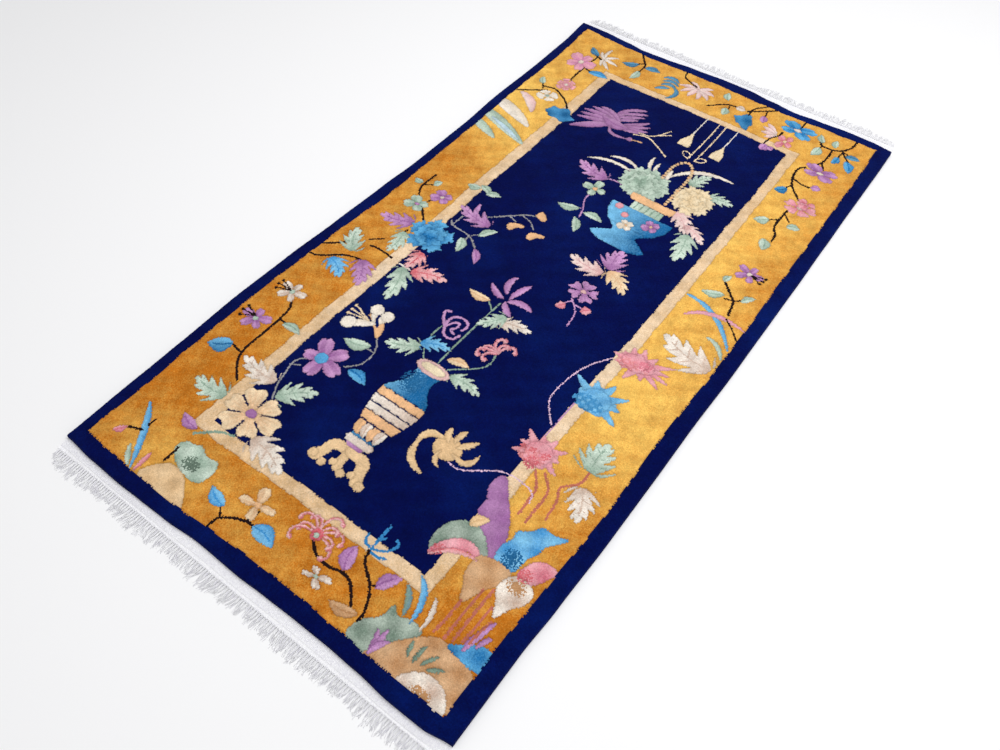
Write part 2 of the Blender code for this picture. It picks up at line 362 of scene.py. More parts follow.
# Stems and twigs of each tone: width and the points that they pass
STEMS = (
    ("twig", (
        (0.62, (-33.4, 69), (-33.4, 65.6), (-33.2, 62.3)),
        (0.75, (-35.2, 77), (-33.4, 75.4), (-31.8, 75)),
        (0.55, (-33.2, 75), (-33.4, 69), (-31.4, 68.6)),
        (0.65, (-24, 84), (-22.6, 82), (-20.6, 79.8), (-20.8, 76.8)),
        (0.55, (-21.2, 80.6), (-23, 79.4)),
        (0.65, (-10.3, 84.5), (-10, 82), (-7.8, 80.9), (-5.2, 80)),
        (0.65, (0.8, 74.7), (3, 76.8), (5, 78.6), (7.2, 78.8)),
        (0.5, (5.4, 78.6), (5.8, 77)),
        (0.65, (16.4, 84), (13.8, 81.6), (10.2, 78.8)),
        (0.65, (13.8, 84), (10.8, 80.6), (11.2, 77.6)),
        (0.5, (14.4, 82), (14.7, 80)),
        (0.6, (21.2, 76.4), (21, 74.4), (19.6, 72.4), (19.3, 69.6)),
        (0.65, (24.2, 84), (24.1, 81)),
        (0.7, (37.7, 84.5), (37.5, 80.6), (35, 77.8), (31.2, 77.5), (30.4, 78.8)),
        (0.5, (31.4, 77.5), (30.8, 76.4)),
        (0.65, (34, 77.6), (34.2, 74.6), (34, 71.4), (32.6, 69.8)),
        (0.6, (34, 71.6), (35.2, 69.4)),
        (0.6, (36.2, 78.8), (37.4, 77.2), (39.2, 75.4)),
        (0.5, (36.4, 78.6), (36.2, 76)),
        (0.5, (36.4, 78.6), (38.2, 78.2)),
        (0.7, (31.4, 67.6), (30.2, 66.4), (30.3, 63), (31.6, 59.4), (35, 56)),
        (0.6, (30.5, 62.2), (33.4, 61.2), (35.4, 61.4)),
        (0.5, (31.4, 59.4), (31, 58)),
        (0.7, (34.6, 50.8), (34.5, 47.2), (34.6, 43.6), (36.2, 41.8), (36.2, 39.4)),
        (0.55, (34.7, 49.4), (36.6, 47.6)),
        (0.5, (34.4, 46.8), (32.6, 45.6)),
        (0.7, (33.6, 22.2), (36, 19.8), (38, 18), (38.4, 16), (38.9, 13.8)),
        (0.5, (38, 18), (36, 17.6)),
        (0.5, (38.2, 18.2), (39.4, 19.4)),
        (0.5, (39, 12.6), (41.2, 11), (43.3, 8.7)),
    )),
    ("rose_twig", (
        (0.62, (36.7, -35.4), (36.7, -38.7), (33.6, -41.2), (35.2, -43.4), (35.6, -48)),
        (0.62, (30.2, -40.5), (33.2, -43.2), (33, -47), (33.1, -50.6)),
        (0.62, (28.4, -41), (31, -44), (31.0, -46.5), (31.2, -50)),
        (0.62, (33, -68.6), (33.1, -72), (32.8, -75.4)),
        (0.62, (34.8, -65), (34.7, -71.5), (34.8, -75.2)),
        (0.62, (36.2, -64), (36.1, -71), (36.2, -74.8)),
        (0.62, (37.8, -66.5), (37.7, -70.5), (37.6, -74)),
        (0.62, (39.2, -68.6), (38.6, -71.5), (38.6, -73.6)),
    )),
    ("blue_twig", (
        (0.6, (15.1, -71), (15.0, -68.2), (15.0, -65.4)),
        (0.55, (15.0, -70.6), (13.2, -70.2), (12.8, -68.6)),
        (0.55, (15.1, -70.6), (17.8, -69.4), (18.6, -67.2), (17.6, -66.8)),
        (0.6, (15.0, -71), (17, -71.2), (18.2, -70.6)),
        (0.55, (15.0, -69), (15.8, -67.6)),
    )),
    ("twig", (
        (0.65, (15, -71), (15.6, -73.2), (19.6, -75.6), (21.8, -79.6), (21.8, -81.4)),
        (0.7, (6, -75.2), (8, -77), (11.4, -77.6), (13.8, -76.6), (16.4, -77), (19.2, -80.2)),
        (0.5, (19.6, -75.6), (20.4, -74.6)),
        (0.7, (-10.4, -84.5), (-10.1, -81.8), (-5.6, -79.6), (-4, -79.8)),
        (0.55, (-10.1, -81.8), (-11.6, -80.2)),
        (0.65, (-5.6, -79.6), (-5.2, -77.2)),
        (0.7, (-26.6, -76.8), (-26.6, -80.2)),
        (0.6, (-34.7, -75.3), (-34.8, -76.8)),
        (0.65, (-34.9, -78.2), (-37.4, -79.2)),
    )),
    ("pale_twig", (
        (0.7, (-20.5, -68.9), (-23.4, -69.8), (-26.8, -73)),
    )),
    ("twig", (
        (0.7, (-35.6, -38.7), (-34.4, -40.4), (-34.2, -47), (-34.3, -54), (-32.6, -56.9), (-29.6, -59.5)),
        (0.65, (-34.4, -54.2), (-36.8, -53.8)),
        (0.5, (-34.3, -43.4), (-32.8, -43.4)),
        (0.65, (-42.7, -25.8), (-40.5, -25.4), (-36.2, -21.4), (-31.8, -20.6)),
        (0.65, (-42.6, -22), (-40, -20), (-38.6, -18.2)),
        (0.55, (-35.2, -14.9), (-32.8, -12.8)),
        (0.65, (-33.6, -16.1), (-31.4, -15.7), (-27.6, -16.2)),
        (0.55, (-30.5, -8.6), (-30.4, -7.4)),
        (0.65, (-33, 0.6), (-31.2, -1.2), (-29, -3.4)),
        (0.65, (-37.2, 11), (-37.6, 5.6), (-35.8, 3)),
        (0.5, (-37.5, 6.4), (-35.2, 8.2)),
        (0.5, (-32.4, 4), (-32.8, 2.6)),
        (0.65, (-41.8, 50), (-38.4, 52.4), (-35.6, 54.6)),
        (0.65, (-37.4, 55.4), (-34.4, 56.6), (-31.4, 55.2), (-29, 53.6), (-27, 51.4)),
        (0.5, (-36.8, 54.5), (-38.4, 57)),
    )),
    ("lilac_twig", (
        (0.38, (-4.7, 27.4), (-4.6, 25), (-3, 22.6), (-2.3, 19.6)),
        (0.38, (-3.6, 22.4), (-5.6, 21.8)),
        (0.38, (-4.6, 34.4), (-3, 35.4), (0.4, 35)),
        (0.38, (10.4, -2.2), (12, -3.6), (13.4, -5.4), (13.7, -9)),
        (0.42, (10.8, -2.6), (9.8, -4)),
        (0.42, (12, -3.2), (13.8, -3.2)),
    )),
    ("dusk_twig", (
        (0.42, (-19.4, 6.2), (-16.8, 8.6), (-14.4, 11), (-11.8, 13.2), (-10.2, 13.8)),
        (0.42, (-15.2, 10.4), (-12.8, 9.6)),
        (0.42, (-13, 12.2), (-10.4, 11.8), (-8, 9.8)),
        (0.42, (-24.6, 1), (-23.6, -0.2), (-18, -0.3), (-14.8, -3)),
        (0.38, (-23.6, -0.2), (-23.4, 3.6)),
        (0.38, (-18, -0.2), (-16.8, 1.2)),
        (0.42, (-18.4, -0.4), (-18.3, -2)),
    )),
    ("white_twig", (
        (0.5, (-25, -16.5), (-21.4, -16.6)),
    )),
    ("dusk_twig", (
        (0.38, (-15.9, -34.3), (-13.6, -36.6), (-12.6, -39.4), (-13, -42.4), (-15.2, -44.5)),
        (0.42, (-14.6, -38.4), (-12.8, -38.4)),
        (0.42, (-22, -46.6), (-24.4, -49.2), (-23.6, -52), (-22.8, -55.4), (-21, -58.4)),
        (0.38, (-24.2, -50.4), (-22.4, -49.4)),
    )),
    ("pale_twig", (
        (0.38, (-0.8, -12.2), (-1.2, -20), (-1.3, -27), (-1.2, -34)),
        (0.38, (-6.6, -24.4), (-7, -28.4), (-5.6, -32), (-3, -34.6)),
        (0.38, (6.8, -24.2), (7.4, -26.6), (6, -29), (2, -32), (0.6, -33.8)),
        (0.42, (-1.1, -15), (-3, -13.4)),
    )),
    ("lilac_twig", (
        (0.7, (-6.4, -24.0), (-6.6, -21.4), (-4.6, -20.2), (-2.2, -21.0), (-2.6, -23.2)),
        (0.7, (-6.2, -24.2), (-5.2, -26.2), (-2.8, -26.4), (-2.2, -24.6)),
        (0.6, (-6.0, -24.0), (-5.2, -22.2), (-3.8, -21.8), (-4.0, -23.6), (-5.0, -24.2), (-3.4, -24.8)),
        (0.7, (-6.4, -24.0), (-7.8, -22.8), (-8.8, -20.8), (-7.6, -20.4)),
    )),
    ("lavender_twig", (
        (0.34, (25.6, -10.5), (23.1, -14.2), (21.5, -19), (21, -25.4), (22, -27.6), (25, -31)),
    )),
    ("lilac_twig", (
        (0.45, (25.8, -24), (25.6, -34.4)),
    )),
    ("lavender_twig", (
        (0.34, (14.8, -49.2), (17.2, -49.6), (20.2, -47.4), (24, -44.6), (28, -44.4), (31, -45.2), (31.4, -47)),
    )),
    ("cream_twig", (
        (0.42, (-8.6, 54.4), (-6.4, 54.2), (-4.6, 54.4), (-2.8, 56), (-1.2, 59.6)),
        (0.42, (-8, 52.8), (-4.6, 54.2), (-1.4, 52.6), (2.6, 50.2)),
        (0.38, (-2.8, 56), (-0.4, 58.2)),
    )),
)

# Long blades and single petals: tone, width at the middle, and the start, bend and end that they follow
BLADES = (
    ("sage", 2.6, (-46, 35.0), (-40, 32.8), (-35, 30.6)),
    ("sage", 3.4, (-46.8, 39.4), (-37.5, 37.0), (-28.2, 33.0)),
    ("pale_blue", 1.3, (-40, 37.0), (-34, 35.2), (-29.6, 33.5)),
    ("pearl", 3.6, (-47.6, 44.8), (-38.2, 43.2), (-31, 39.4)),
    ("blush", 2.6, (-40.2, 50.0), (-35.8, 49.0), (-33.6, 44.8)),
    ("sky", 1.2, (29, 14.0), (36.6, 14.6), (43.2, 5.3)),
    ("mauve", 1.1, (31.3, 8.8), (35.2, 13.9), (43.6, 11.9)),
    ("sage", 1.1, (38.2, 6.0), (41.4, 5.8), (43.3, 2.3)),
    ("sky", 1.4, (-38.7, -73.2), (-34.6, -77.2), (-30.4, -84.8)),
    ("sage", 1.1, (-34.2, -81.6), (-33, -83.4), (-31.2, -84.8)),
    ("pink", 1.0, (-29.8, -80.6), (-29.5, -82.6), (-29.5, -84.8)),
    ("slate", 1.2, (24.3, -71.8), (26.4, -73.2), (27, -76.4)),
    ("sky", 1.2, (25.2, -69.2), (28.6, -71.4), (28.8, -76.6)),
    ("white", 1.0, (29.4, -70.8), (31.2, -73), (30.8, -76.6)),
    ("lilac", 1.3, (38.4, -75), (38.4, -72.6), (39.9, -68.4)),
    ("lilac", 1.0, (39.8, -73.4), (40.2, -71.6), (41, -70.8)),
    ("pearl", 1.3, (7, 44.4), (11, 52.6), (20.2, 51.6)),
    ("pearl", 1.0, (-12.2, 38.8), (-7, 42.4), (0.2, 40.2)),
    ("pearl", 1.0, (-8, 42.4), (-4, 45.0), (0.4, 41.6)),
    ("pearl", 1.0, (0.8, 48.4), (0.6, 45), (2.6, 43)),
    ("pearl", 0.9, (2.9, 47.2), (2.6, 45), (3.6, 43)),
    ("pearl", 1.1, (7.2, 43), (6.4, 44.4), (6.6, 47)),
    ("lilac", 1.3, (-21.2, 4.6), (-22.2, 7.0), (-22.7, 9.3)),
    ("lilac", 1.1, (-18.4, 5.2), (-19.6, 6.6), (-20.4, 7.8)),
    ("lilac", 1.6, (-1.4, -9.2), (-3.6, -6.8), (-2.2, -4.2)),
    ("lilac", 1.5, (-1.4, -10.8), (-3.4, -10.8), (-5.6, -8.8)),
    ("lilac", 1.5, (0.0, -10.0), (0.2, -7), (1.6, -4.6)),
    ("lilac", 1.7, (0.2, -11.0), (2.6, -9), (5.6, -10.4)),
    ("lilac", 1.5, (-0.2, -11.4), (0.6, -13.2), (2.9, -14)),
    ("slate_blue", 1.25, (-14.0, 78.6), (-12.0, 80.6), (-9.8, 78.6)),
    ("slate_blue", 1.25, (-13.6, 77.0), (-11.8, 79.2), (-9.2, 77.2)),
    ("slate_blue", 1.25, (-13.2, 75.4), (-11.6, 77.8), (-9.0, 75.6)),
    ("slate_blue", 1.3, (-10.2, 76.4), (-6.4, 74.4), (-9.4, 70.8)),
    ("slate_blue", 1.2, (-13.8, 73.0), (-12.6, 74.6), (-10.6, 75)),
    # the spidery flower and the drooping one of the far border
    ("white", 1.1, (-31.6, 75.8), (-32.4, 78), (-31.8, 80.6)),
    ("white", 1.1, (-31.6, 75.8), (-30.2, 77.6), (-28.2, 78.4)),
    ("white", 1.1, (-31.6, 75.8), (-29.4, 75.8), (-27, 75.2)),
    ("white", 1.1, (-31.6, 75.8), (-30, 73.8), (-28, 72.4)),
    ("white", 1.0, (-31.6, 75.8), (-31.4, 74.2), (-30.6, 72.8)),
    ("white", 1.0, (-31.6, 75.8), (-33.0, 76.8), (-33.4, 78.2)),
    ("blush", 1.5, (-4.2, 79.4), (-6.4, 79.8), (-9.2, 78.4)),
    ("blush", 1.5, (-4.2, 79.4), (-6.6, 78.6), (-7.8, 76.2)),
    ("blush", 1.5, (-4.2, 79.4), (-5.2, 77.6), (-5.4, 75.4)),
    ("blush", 1.5, (-4.2, 79.4), (-2.8, 77.6), (-2.8, 75.6)),
    ("blush", 1.5, (-4.2, 79.4), (-1.6, 78.8), (-0.4, 76.8)),
    ("blush", 1.5, (-4.2, 79.4), (-1.8, 80.2), (0.2, 79.2)),
    ("blush", 1.3, (-4.2, 79.4), (-5.6, 81), (-7.2, 81.4)),
    ("blush", 1.3, (-4.2, 79.4), (-2.8, 81.2), (-1.2, 81.6)),
    ("blush", 1.5, (20.4, 74), (18.6, 76.6), (16.8, 77.6)),
    ("blush", 1.5, (20.4, 74), (18.4, 75.6), (16.4, 75.8)),
    ("blush", 1.5, (20.4, 74), (18.4, 74.4), (16.8, 73.8)),
    ("blush", 1.3, (20.4, 74), (19.2, 73.2), (18.2, 72.4)),
)

# Tones that are a light and a deep dye, and those mixed from shares of the dyes, light yarn and then deep
TWO_DYE_TONES = ("gold", "guard", "blue", "sky", "lilac", "pink", "rose", "cream", "white", "rock")
MIXED_TONES = {
    "navy": ({"navy_light": 1}, {"navy": 1}),
    "sage": ({"sage_light": 1}, {"sage_shade": 1}),
    "sage_shade": ({"sage_shade": 1}, {"sage_shade": 0.45}),
    "sage_deep": ({"sage_light": 0.72}, {"sage_shade": 0.58}),
    "lilac_deep": ({"lilac_light": 0.5, "lilac_deep": 0.5}, {"lilac_deep": 1}),
    "edging": ({"guard_light": 0.648, "white_light": 0.432}, {"guard_deep": 1}),
    "plum": ({"lilac_light": 0.75}, {"lilac_deep": 0.95}),
    "pearl": ({"white_light": 1}, {"cream_light": 0.5, "white_light": 0.3}),
    "yellow": ({"cream_light": 0.78, "sage_light": 0.22}, {"gold_light": 0.18, "cream_light": 0.70}),
    "bowl": ({"sky_light": 0.5, "blue_light": 0.5}, {"blue_deep": 0.75}),
    "mauve": ({"pink_light": 1}, {"pink_deep": 0.5, "lilac_light": 0.5}),
    "slate": ({"sage_shade": 1}, {"blue_deep": 0.5, "sage_shade": 0.5}),
    "peach": ({"peach": 1.1}, {"peach": 0.85}),
    "blush": ({"white_light": 0.7, "pink_light": 0.3}, {"pink_light": 0.6, "white_deep": 0.3}),
    "deep_blue": ({"blue_deep": 0.5, "blue_light": 0.5}, {"blue_deep": 0.6}),
    "slate_blue": ({"blue_light": 0.60, "sage_shade": 0.16}, {"blue_deep": 0.56, "sage_shade": 0.12}),
    "pale_blue": ({"sky_light": 0.5, "white_light": 0.5}, {"sky_light": 0.5, "sage_light": 0.5}),
    "twig": ({"twig": 1.6}, {"twig": 1}),
    "rose_twig": ({"rock_deep": 0.5, "rose_deep": 0.5}, {"rock_deep": 0.4, "rose_deep": 0.4}),
    "dusk_twig": ({"lilac_light": 0.26, "sage_light": 0.34}, {"sage_light": 0.30}),
    "lavender_twig": ({"lilac_light": 0.5, "white_light": 0.5}, {"lilac_light": 1}),
    "lilac_twig": ({"lilac_light": 1}, {"lilac_light": 0.75}),
    "blue_twig": ({"sky_deep": 1}, {"sky_deep": 0.75}),
    "pale_twig": ({"sage_shade": 1}, {"sage_shade": 0.75}),
    "white_twig": ({"white_light": 1}, {"white_light": 0.75}),
    "cream_twig": ({"cream_light": 1}, {"cream_light": 0.75}),
    "peach_twig": ({"peach": 1}, {"peach": 0.75}),
}


class RugSizes(bpy.types.PropertyGroup):
    """Sizes of the pile, the woven bands and the fringe."""

    knots_across: bpy.props.IntProperty(
        name="Knots across", description="Knots across one quarter of the pile", default=216, min=40, max=300
    )
    knots_along: bpy.props.IntProperty(
        name="Knots along", description="Knots along one quarter of the pile", default=420, min=40, max=500
    )
    rim_radius: bpy.props.FloatProperty(
        name="Rim radius", description="Rounding of the pile's edge", default=0.0048, unit="LENGTH"
    )
    groove_depth: bpy.props.FloatProperty(
        name="Groove depth", description="Depth of the carving round each motif", default=0.0012, unit="LENGTH"
    )
    tuft_rise: bpy.props.FloatProperty(
        name="Tuft rise", description="How unevenly the tufts stand", default=0.0005, unit="LENGTH"
    )
    web_ribs: bpy.props.IntProperty(
        name="Web ribs", description="Weft rows across each woven band", default=15, min=4, max=40
    )
    strands: bpy.props.IntProperty(
        name="Strands", description="Loose warp ends in each fringe", default=620, min=50, max=900
    )
    strand_radius: bpy.props.FloatProperty(
        name="Strand radius", description="Radius of one warp end", default=0.00078, unit="LENGTH"
    )


def dye(title, words, shade):
    """A colour property whose default is given as display values."""
    return bpy.props.FloatVectorProperty(
        name=title, description=words, subtype="COLOR_GAMMA", size=3, min=0.0, max=1.0, default=shade
    )


class RugColours(bpy.types.PropertyGroup):
    """Dyes of the wool and the cotton, each motif tone as a light and a deep shade. The light navy and the light and
    deep gold also carry painted light and shade of the nap, and the cotton shade carries painted shade between the
    threads.
    """

    navy: dye("Navy", "Field and outer band", (0.004, 0.032, 0.262))
    navy_light: dye("Navy light", "Where the nap of the navy catches light", (0.014, 0.115, 0.390))
    gold_light: dye("Gold light", "Where the nap of the gold catches light", (0.950, 0.765, 0.385))
    gold_deep: dye("Gold deep", "Shaded parts of the gold", (0.735, 0.430, 0.105))
    guard_light: dye("Guard light", "Light yarn of the narrow band", (0.900, 0.775, 0.610))
    guard_deep: dye("Guard deep", "Deep yarn of the narrow band", (0.835, 0.690, 0.510))
    blue_light: dye("Blue light", "Light yarn of blue motifs", (0.420, 0.710, 0.880))
    blue_deep: dye("Blue deep", "Deep yarn of blue motifs", (0.110, 0.430, 0.670))
    sky_light: dye("Sky light", "Light yarn of pale blue motifs", (0.520, 0.765, 0.905))
    sky_deep: dye("Sky deep", "Deep yarn of pale blue motifs", (0.225, 0.530, 0.765))
    sage_light: dye("Sage light", "Light yarn of green motifs", (0.800, 0.860, 0.800))
    sage_shade: dye("Sage deep", "Deep yarn of green motifs", (0.545, 0.640, 0.570))
    lilac_light: dye("Lilac light", "Light yarn of lilac motifs", (0.790, 0.600, 0.780))
    lilac_deep: dye("Lilac deep", "Deep yarn of lilac motifs", (0.580, 0.380, 0.590))
    pink_light: dye("Pink light", "Light yarn of pink motifs", (0.905, 0.670, 0.700))
    pink_deep: dye("Pink deep", "Deep yarn of pink motifs", (0.795, 0.425, 0.490))
    rose_light: dye("Rose light", "Light yarn of rose motifs", (0.925, 0.730, 0.735))
    rose_deep: dye("Rose deep", "Deep yarn of rose motifs", (0.790, 0.335, 0.380))
    cream_light: dye("Cream light", "Light yarn of cream motifs", (0.935, 0.840, 0.700))
    cream_deep: dye("Cream deep", "Deep yarn of cream motifs", (0.840, 0.670, 0.510))
    white_light: dye("White light", "Light yarn of white motifs", (0.935, 0.900, 0.855))
    white_deep: dye("White deep", "Deep yarn of white motifs", (0.765, 0.660, 0.590))
    rock_light: dye("Rock light", "Light yarn of tan motifs", (0.850, 0.690, 0.530))
    rock_deep: dye("Rock deep", "Deep yarn of tan motifs", (0.710, 0.520, 0.350))
    peach: dye("Peach", "Small hearts and twigs", (0.900, 0.710, 0.530))
    twig: dye("Twig", "Dark stems on the border", (0.110, 0.065, 0.070))
    cotton: dye("Cotton", "Woven bands and fringe", (0.985, 0.985, 0.990))
    cotton_shade: dye("Cotton shade", "Between the threads of the cotton", (0.900, 0.895, 0.925))


class StageSettings(bpy.types.PropertyGroup):
    """Camera, light and floor."""

    lens: bpy.props.FloatProperty(
        name="Lens", description="Focal length", default=31.55, subtype="DISTANCE_CAMERA"
    )
    camera_place: bpy.props.FloatVectorProperty(
        name="Camera place", description="Camera above the pile's middle", subtype="TRANSLATION",
        default=(0.7055, -1.1204, 1.3743),
    )
    camera_turn: bpy.props.FloatVectorProperty(
        name="Camera turn", description="Camera rotation", subtype="EULER",
        default=(0.646370, -0.016397, 0.640427),
    )
    lamp_power: bpy.props.FloatProperty(
        name="Lamp power", description="Power of the large overhead lamp", default=50.0, unit="POWER"
    )
    floor_shade: dye("Floor", "Plain pale floor", (0.965, 0.965, 0.970))


def linear(display):
    """Display colour values as scene linear ones."""
    value = np.asarray(display[:3], dtype=float)
    return np.where(value <= 0.04045, value / 12.92, ((value + 0.055) / 1.055) ** 2.4)


def rgba(display):
    """Display colour values as a shader socket takes them."""
    return (*linear(display), 1.0)


def palette(colours):
    """Every tone as a (light, deep) pair of linear colours."""
    shade = {name: linear(getattr(colours, name)) for name in colours.__annotations__}
    tones = {name: (shade[f"{name}_light"], shade[f"{name}_deep"]) for name in TWO_DYE_TONES}
    for name, yarns in MIXED_TONES.items():
        tones[name] = tuple(sum(share * shade[dyed] for dyed, share in yarn.items()) for yarn in yarns)
    return tones


def smooth_step(share):
    """0 to 1 with level ends."""
    share = np.clip(share, 0.0, 1.0)
    return share * share * (3 - 2 * share)


def hump(place, middle, spread):
    """1 at the middle, falling to 0 on both sides of it."""
    return np.exp(-(((place - middle) / spread) ** 2))


def eased(rows, columns, column, place):
    """A table's named column at any places in its first column, eased between its rows."""
    table = np.array(rows, dtype=float)
    keys = table[:, 0]
    values = table[:, columns.index(column)]
    place = np.clip(np.asarray(place, dtype=float), keys[0], keys[-1])
    after = np.clip(np.searchsorted(keys, place), 1, len(keys) - 1)
    share = smooth_step((place - keys[after - 1]) / (keys[after] - keys[after - 1]))
    return values[after - 1] + (values[after] - values[after - 1]) * share


def side_x(side, y):
    """The x of the left (-1) or right (+1) edge of the pile at y, in centimetres."""
    column = "left" if side < 0 else "right"
    return side * (HALF_WIDTH + 0.1 * eased(SIDE_DRIFT, SIDE_DRIFT_COLUMNS, column, 10 * y))


def end_y(end, x):
    """The y of the pile's near (-1) or far (+1) edge at x, in centimetres."""
    column = "near" if end < 0 else "far"
    return end * (HALF_LENGTH + 0.1 * eased(END_DRIFT, END_DRIFT_COLUMNS, column, 10 * x))


def edge_lines(rows, columns, place, names, ends):
    """Where the lines of knots at the given shares run: the pile's own edges and the pattern's between them."""
    inner = [eased(rows, columns, f"{name}_{ends[0]}", place) for name in names]
    outer = [eased(rows, columns, f"{name}_{ends[1]}", place) for name in reversed(names)]
    return [None, *inner, *outer, None]


def between(shares, lines, share):
    """The place of a share between the lines of knots on both sides of it."""
    place = np.zeros(np.broadcast(share, lines[0]).shape)
    for number in range(len(shares) - 1):
        low, high = shares[number], shares[number + 1]
        here = (share >= low) & (share <= high)
        part = (share - low) / (high - low)
        place = np.where(here, lines[number] + (lines[number + 1] - lines[number]) * part, place)
    return place


def plan_point(across, along):
    """Where shares from -1 to 1 across and along the pile lie on its uneven plan, in centimetres."""
    across, along = np.asarray(across, dtype=float), np.asarray(along, dtype=float)
    names = ("gold", "guard", "field")
    nominal = along * HALF_LENGTH
    left, right = side_x(-1, nominal), side_x(1, nominal)
    lines = edge_lines(BAND_SIDES, BAND_SIDES_COLUMNS, nominal, names, ("left", "right"))
    lines[0], lines[-1] = left, right
    x = between(COLUMN_SHARES, lines, across)
    even = (2 * (x - left) / (right - left) - 1) * HALF_WIDTH
    lines = edge_lines(BAND_ENDS, BAND_ENDS_COLUMNS, x, names, ("near", "far"))
    lines[0], lines[-1] = end_y(-1, even), end_y(1, even)
    return x, between(ROW_SHARES, lines, along)


def plan_shift():
    """How far the solid lies from the plan that the tables are on, in metres."""
    steps = np.linspace(-1, 1, 400)
    low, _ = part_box(NODES["pile"])
    left = plan_point(-np.ones_like(steps), steps)[0].min() * CM
    near = plan_point(steps, -np.ones_like(steps))[1].min() * CM
    return low[0] - left, low[1] - near


class KnotPlan:
    """The colour and the carved region of every knot, laid motif over motif."""

    def __init__(self, x, y, tones):
        draw = np.random.default_rng(41)
        self.x = x
        self.y = y
        self.tones = tones
        self.grain = draw.random(len(x))
        self.colour = np.zeros((len(x), 3))
        self.region = np.zeros(len(x), dtype=int)
        self.regions = 0
        self.worked = np.ones(len(x), dtype=bool)

    def near(self, x, y, reach, heading=0.0):
        """The knots within reach of a point, and their place along and beside a heading through it."""
        found = np.flatnonzero((abs(self.x - x) < reach) & (abs(self.y - y) < reach) & self.worked)
        turn = np.radians(heading)
        dx, dy = self.x[found] - x, self.y[found] - y
        return found, dx * np.cos(turn) + dy * np.sin(turn), dy * np.cos(turn) - dx * np.sin(turn)

    def blend(self, knots, tone, share):
        """Each knot's mix of the tone's light yarn, at share 0, and its deep one, at share 1."""
        light, deep = self.tones[tone]
        share = np.clip(np.broadcast_to(share, len(knots)), 0, 1)
        mix = np.clip(share + 0.30 * (self.grain[knots] - 0.5), 0, 1)[:, None]
        return light * (1 - mix) + deep * mix

    def lay(self, knots, tone, share=0.5, part=None):
        """Gives knots a tone and a carved region, split further by parts."""
        self.colour[knots] = self.blend(knots, tone, share)
        self.region[knots] = self.regions + 1 + (0 if part is None else part)
        self.regions += 1 if part is None else 1 + int(part.max(initial=0))

    def tint(self, knots, tone, share=0.0):
        """Gives knots a tone without carving round them."""
        self.colour[knots] = self.blend(knots, tone, share)


def draw_rows(plan, draw, columns, rows):
    """Draws every row of a table whose columns are named as the function's values are."""
    for values in rows:
        draw(plan, **dict(zip(columns, values)))


def rounded(points, rounds, closed=False):
    """A line through points with its corners cut off again and again."""
    points = np.array(points, dtype=float)
    for _ in range(rounds):
        after = np.roll(points, -1, axis=0) if closed else points[1:]
        before = points if closed else points[:-1]
        cut = np.stack((0.75 * before + 0.25 * after, 0.25 * before + 0.75 * after), axis=1).reshape(-1, 2)
        points = cut if closed else np.vstack((points[:1], cut, points[-1:]))
    return points


def along_line(plan, points, width):
    """The knots near a line of points: which, how far off, the side and the share of the line passed."""
    middle = (points.max(axis=0) + points.min(axis=0)) / 2
    knots, dx, dy = plan.near(middle[0], middle[1], np.ptp(points, axis=0).max() / 2 + width)
    away = np.full(len(knots), 99.0)
    side = np.zeros(len(knots))
    share = np.zeros(len(knots))
    steps = len(points) - 1
    for number in range(steps):
        a, run = points[number] - middle, points[number + 1] - points[number]
        t = np.clip(((dx - a[0]) * run[0] + (dy - a[1]) * run[1]) / max(run.dot(run), 1e-9), 0, 1)
        gap_x, gap_y = dx - a[0] - t * run[0], dy - a[1] - t * run[1]
        gap = np.hypot(gap_x, gap_y)
        closer = gap < away
        away[closer] = gap[closer]
        side[closer] = np.sign(run[0] * gap_y - run[1] * gap_x)[closer]
        share[closer] = ((number + t) / steps)[closer]
    return knots, away, side, share


def draw_leaf(plan, x, y, length, width, heading, tone):
    """A plain pointed leaf, lighter on one side of a faint midrib."""
    knots, along, side = plan.near(x, y, length * 0.6 + width * 0.3, heading)
    share = np.clip(along / length + 0.5, 0.0, 1.0)
    bow = 0.10 * length * np.sin(np.pi * share) - 0.05 * length
    half = width / 2 * np.sin(np.pi * share**0.85) ** 0.8
    side = side - bow
    inside = (abs(along) < length / 2) & (abs(side) < half)
    shade = 0.45 + 0.35 * side / np.maximum(half, 0.01)
    plan.lay(knots[inside], tone, shade[inside])
    rib = inside & (abs(side) < 0.16) & (share < 0.8)
    plan.tint(knots[rib], tone, 0.95)


def draw_cut_leaf(plan, x, y, length, width, heading, tone):
    """A leaf whose sides are cut into teeth that point towards its tip."""
    knots, along, side = plan.near(x, y, length * 1.1, heading)
    side = side - 0.07 * length * np.sin(np.pi * along / length)
    place = np.clip(along / length, 0, 1)
    broad = 0.34 * length * width * np.sin(np.pi * place**0.72) ** 0.5
    broad *= 1 - 0.32 * place
    teeth = (3.4 * (place - 0.62 * abs(side) / length) + 0.30 * (side > 0) + 0.15) % 1.0
    half = broad * (0.42 + 0.82 * teeth)
    inside = (along > 0) & (along < length) & (abs(side) < half)
    rim = abs(side) / np.maximum(half, 0.01)
    shade = 0.95 - 1.05 * place**0.7 - 0.15 * rim + 0.12 * np.sin(1.9 * along + 1.3 * side)
    plan.lay(knots[inside], tone, shade[inside])
    rib = inside & (place < 0.8) & ((abs(side) < 0.13) | ((abs(teeth - 0.55) < 0.05) & (rim < 0.75)))
    plan.tint(knots[rib], tone, 0.85)


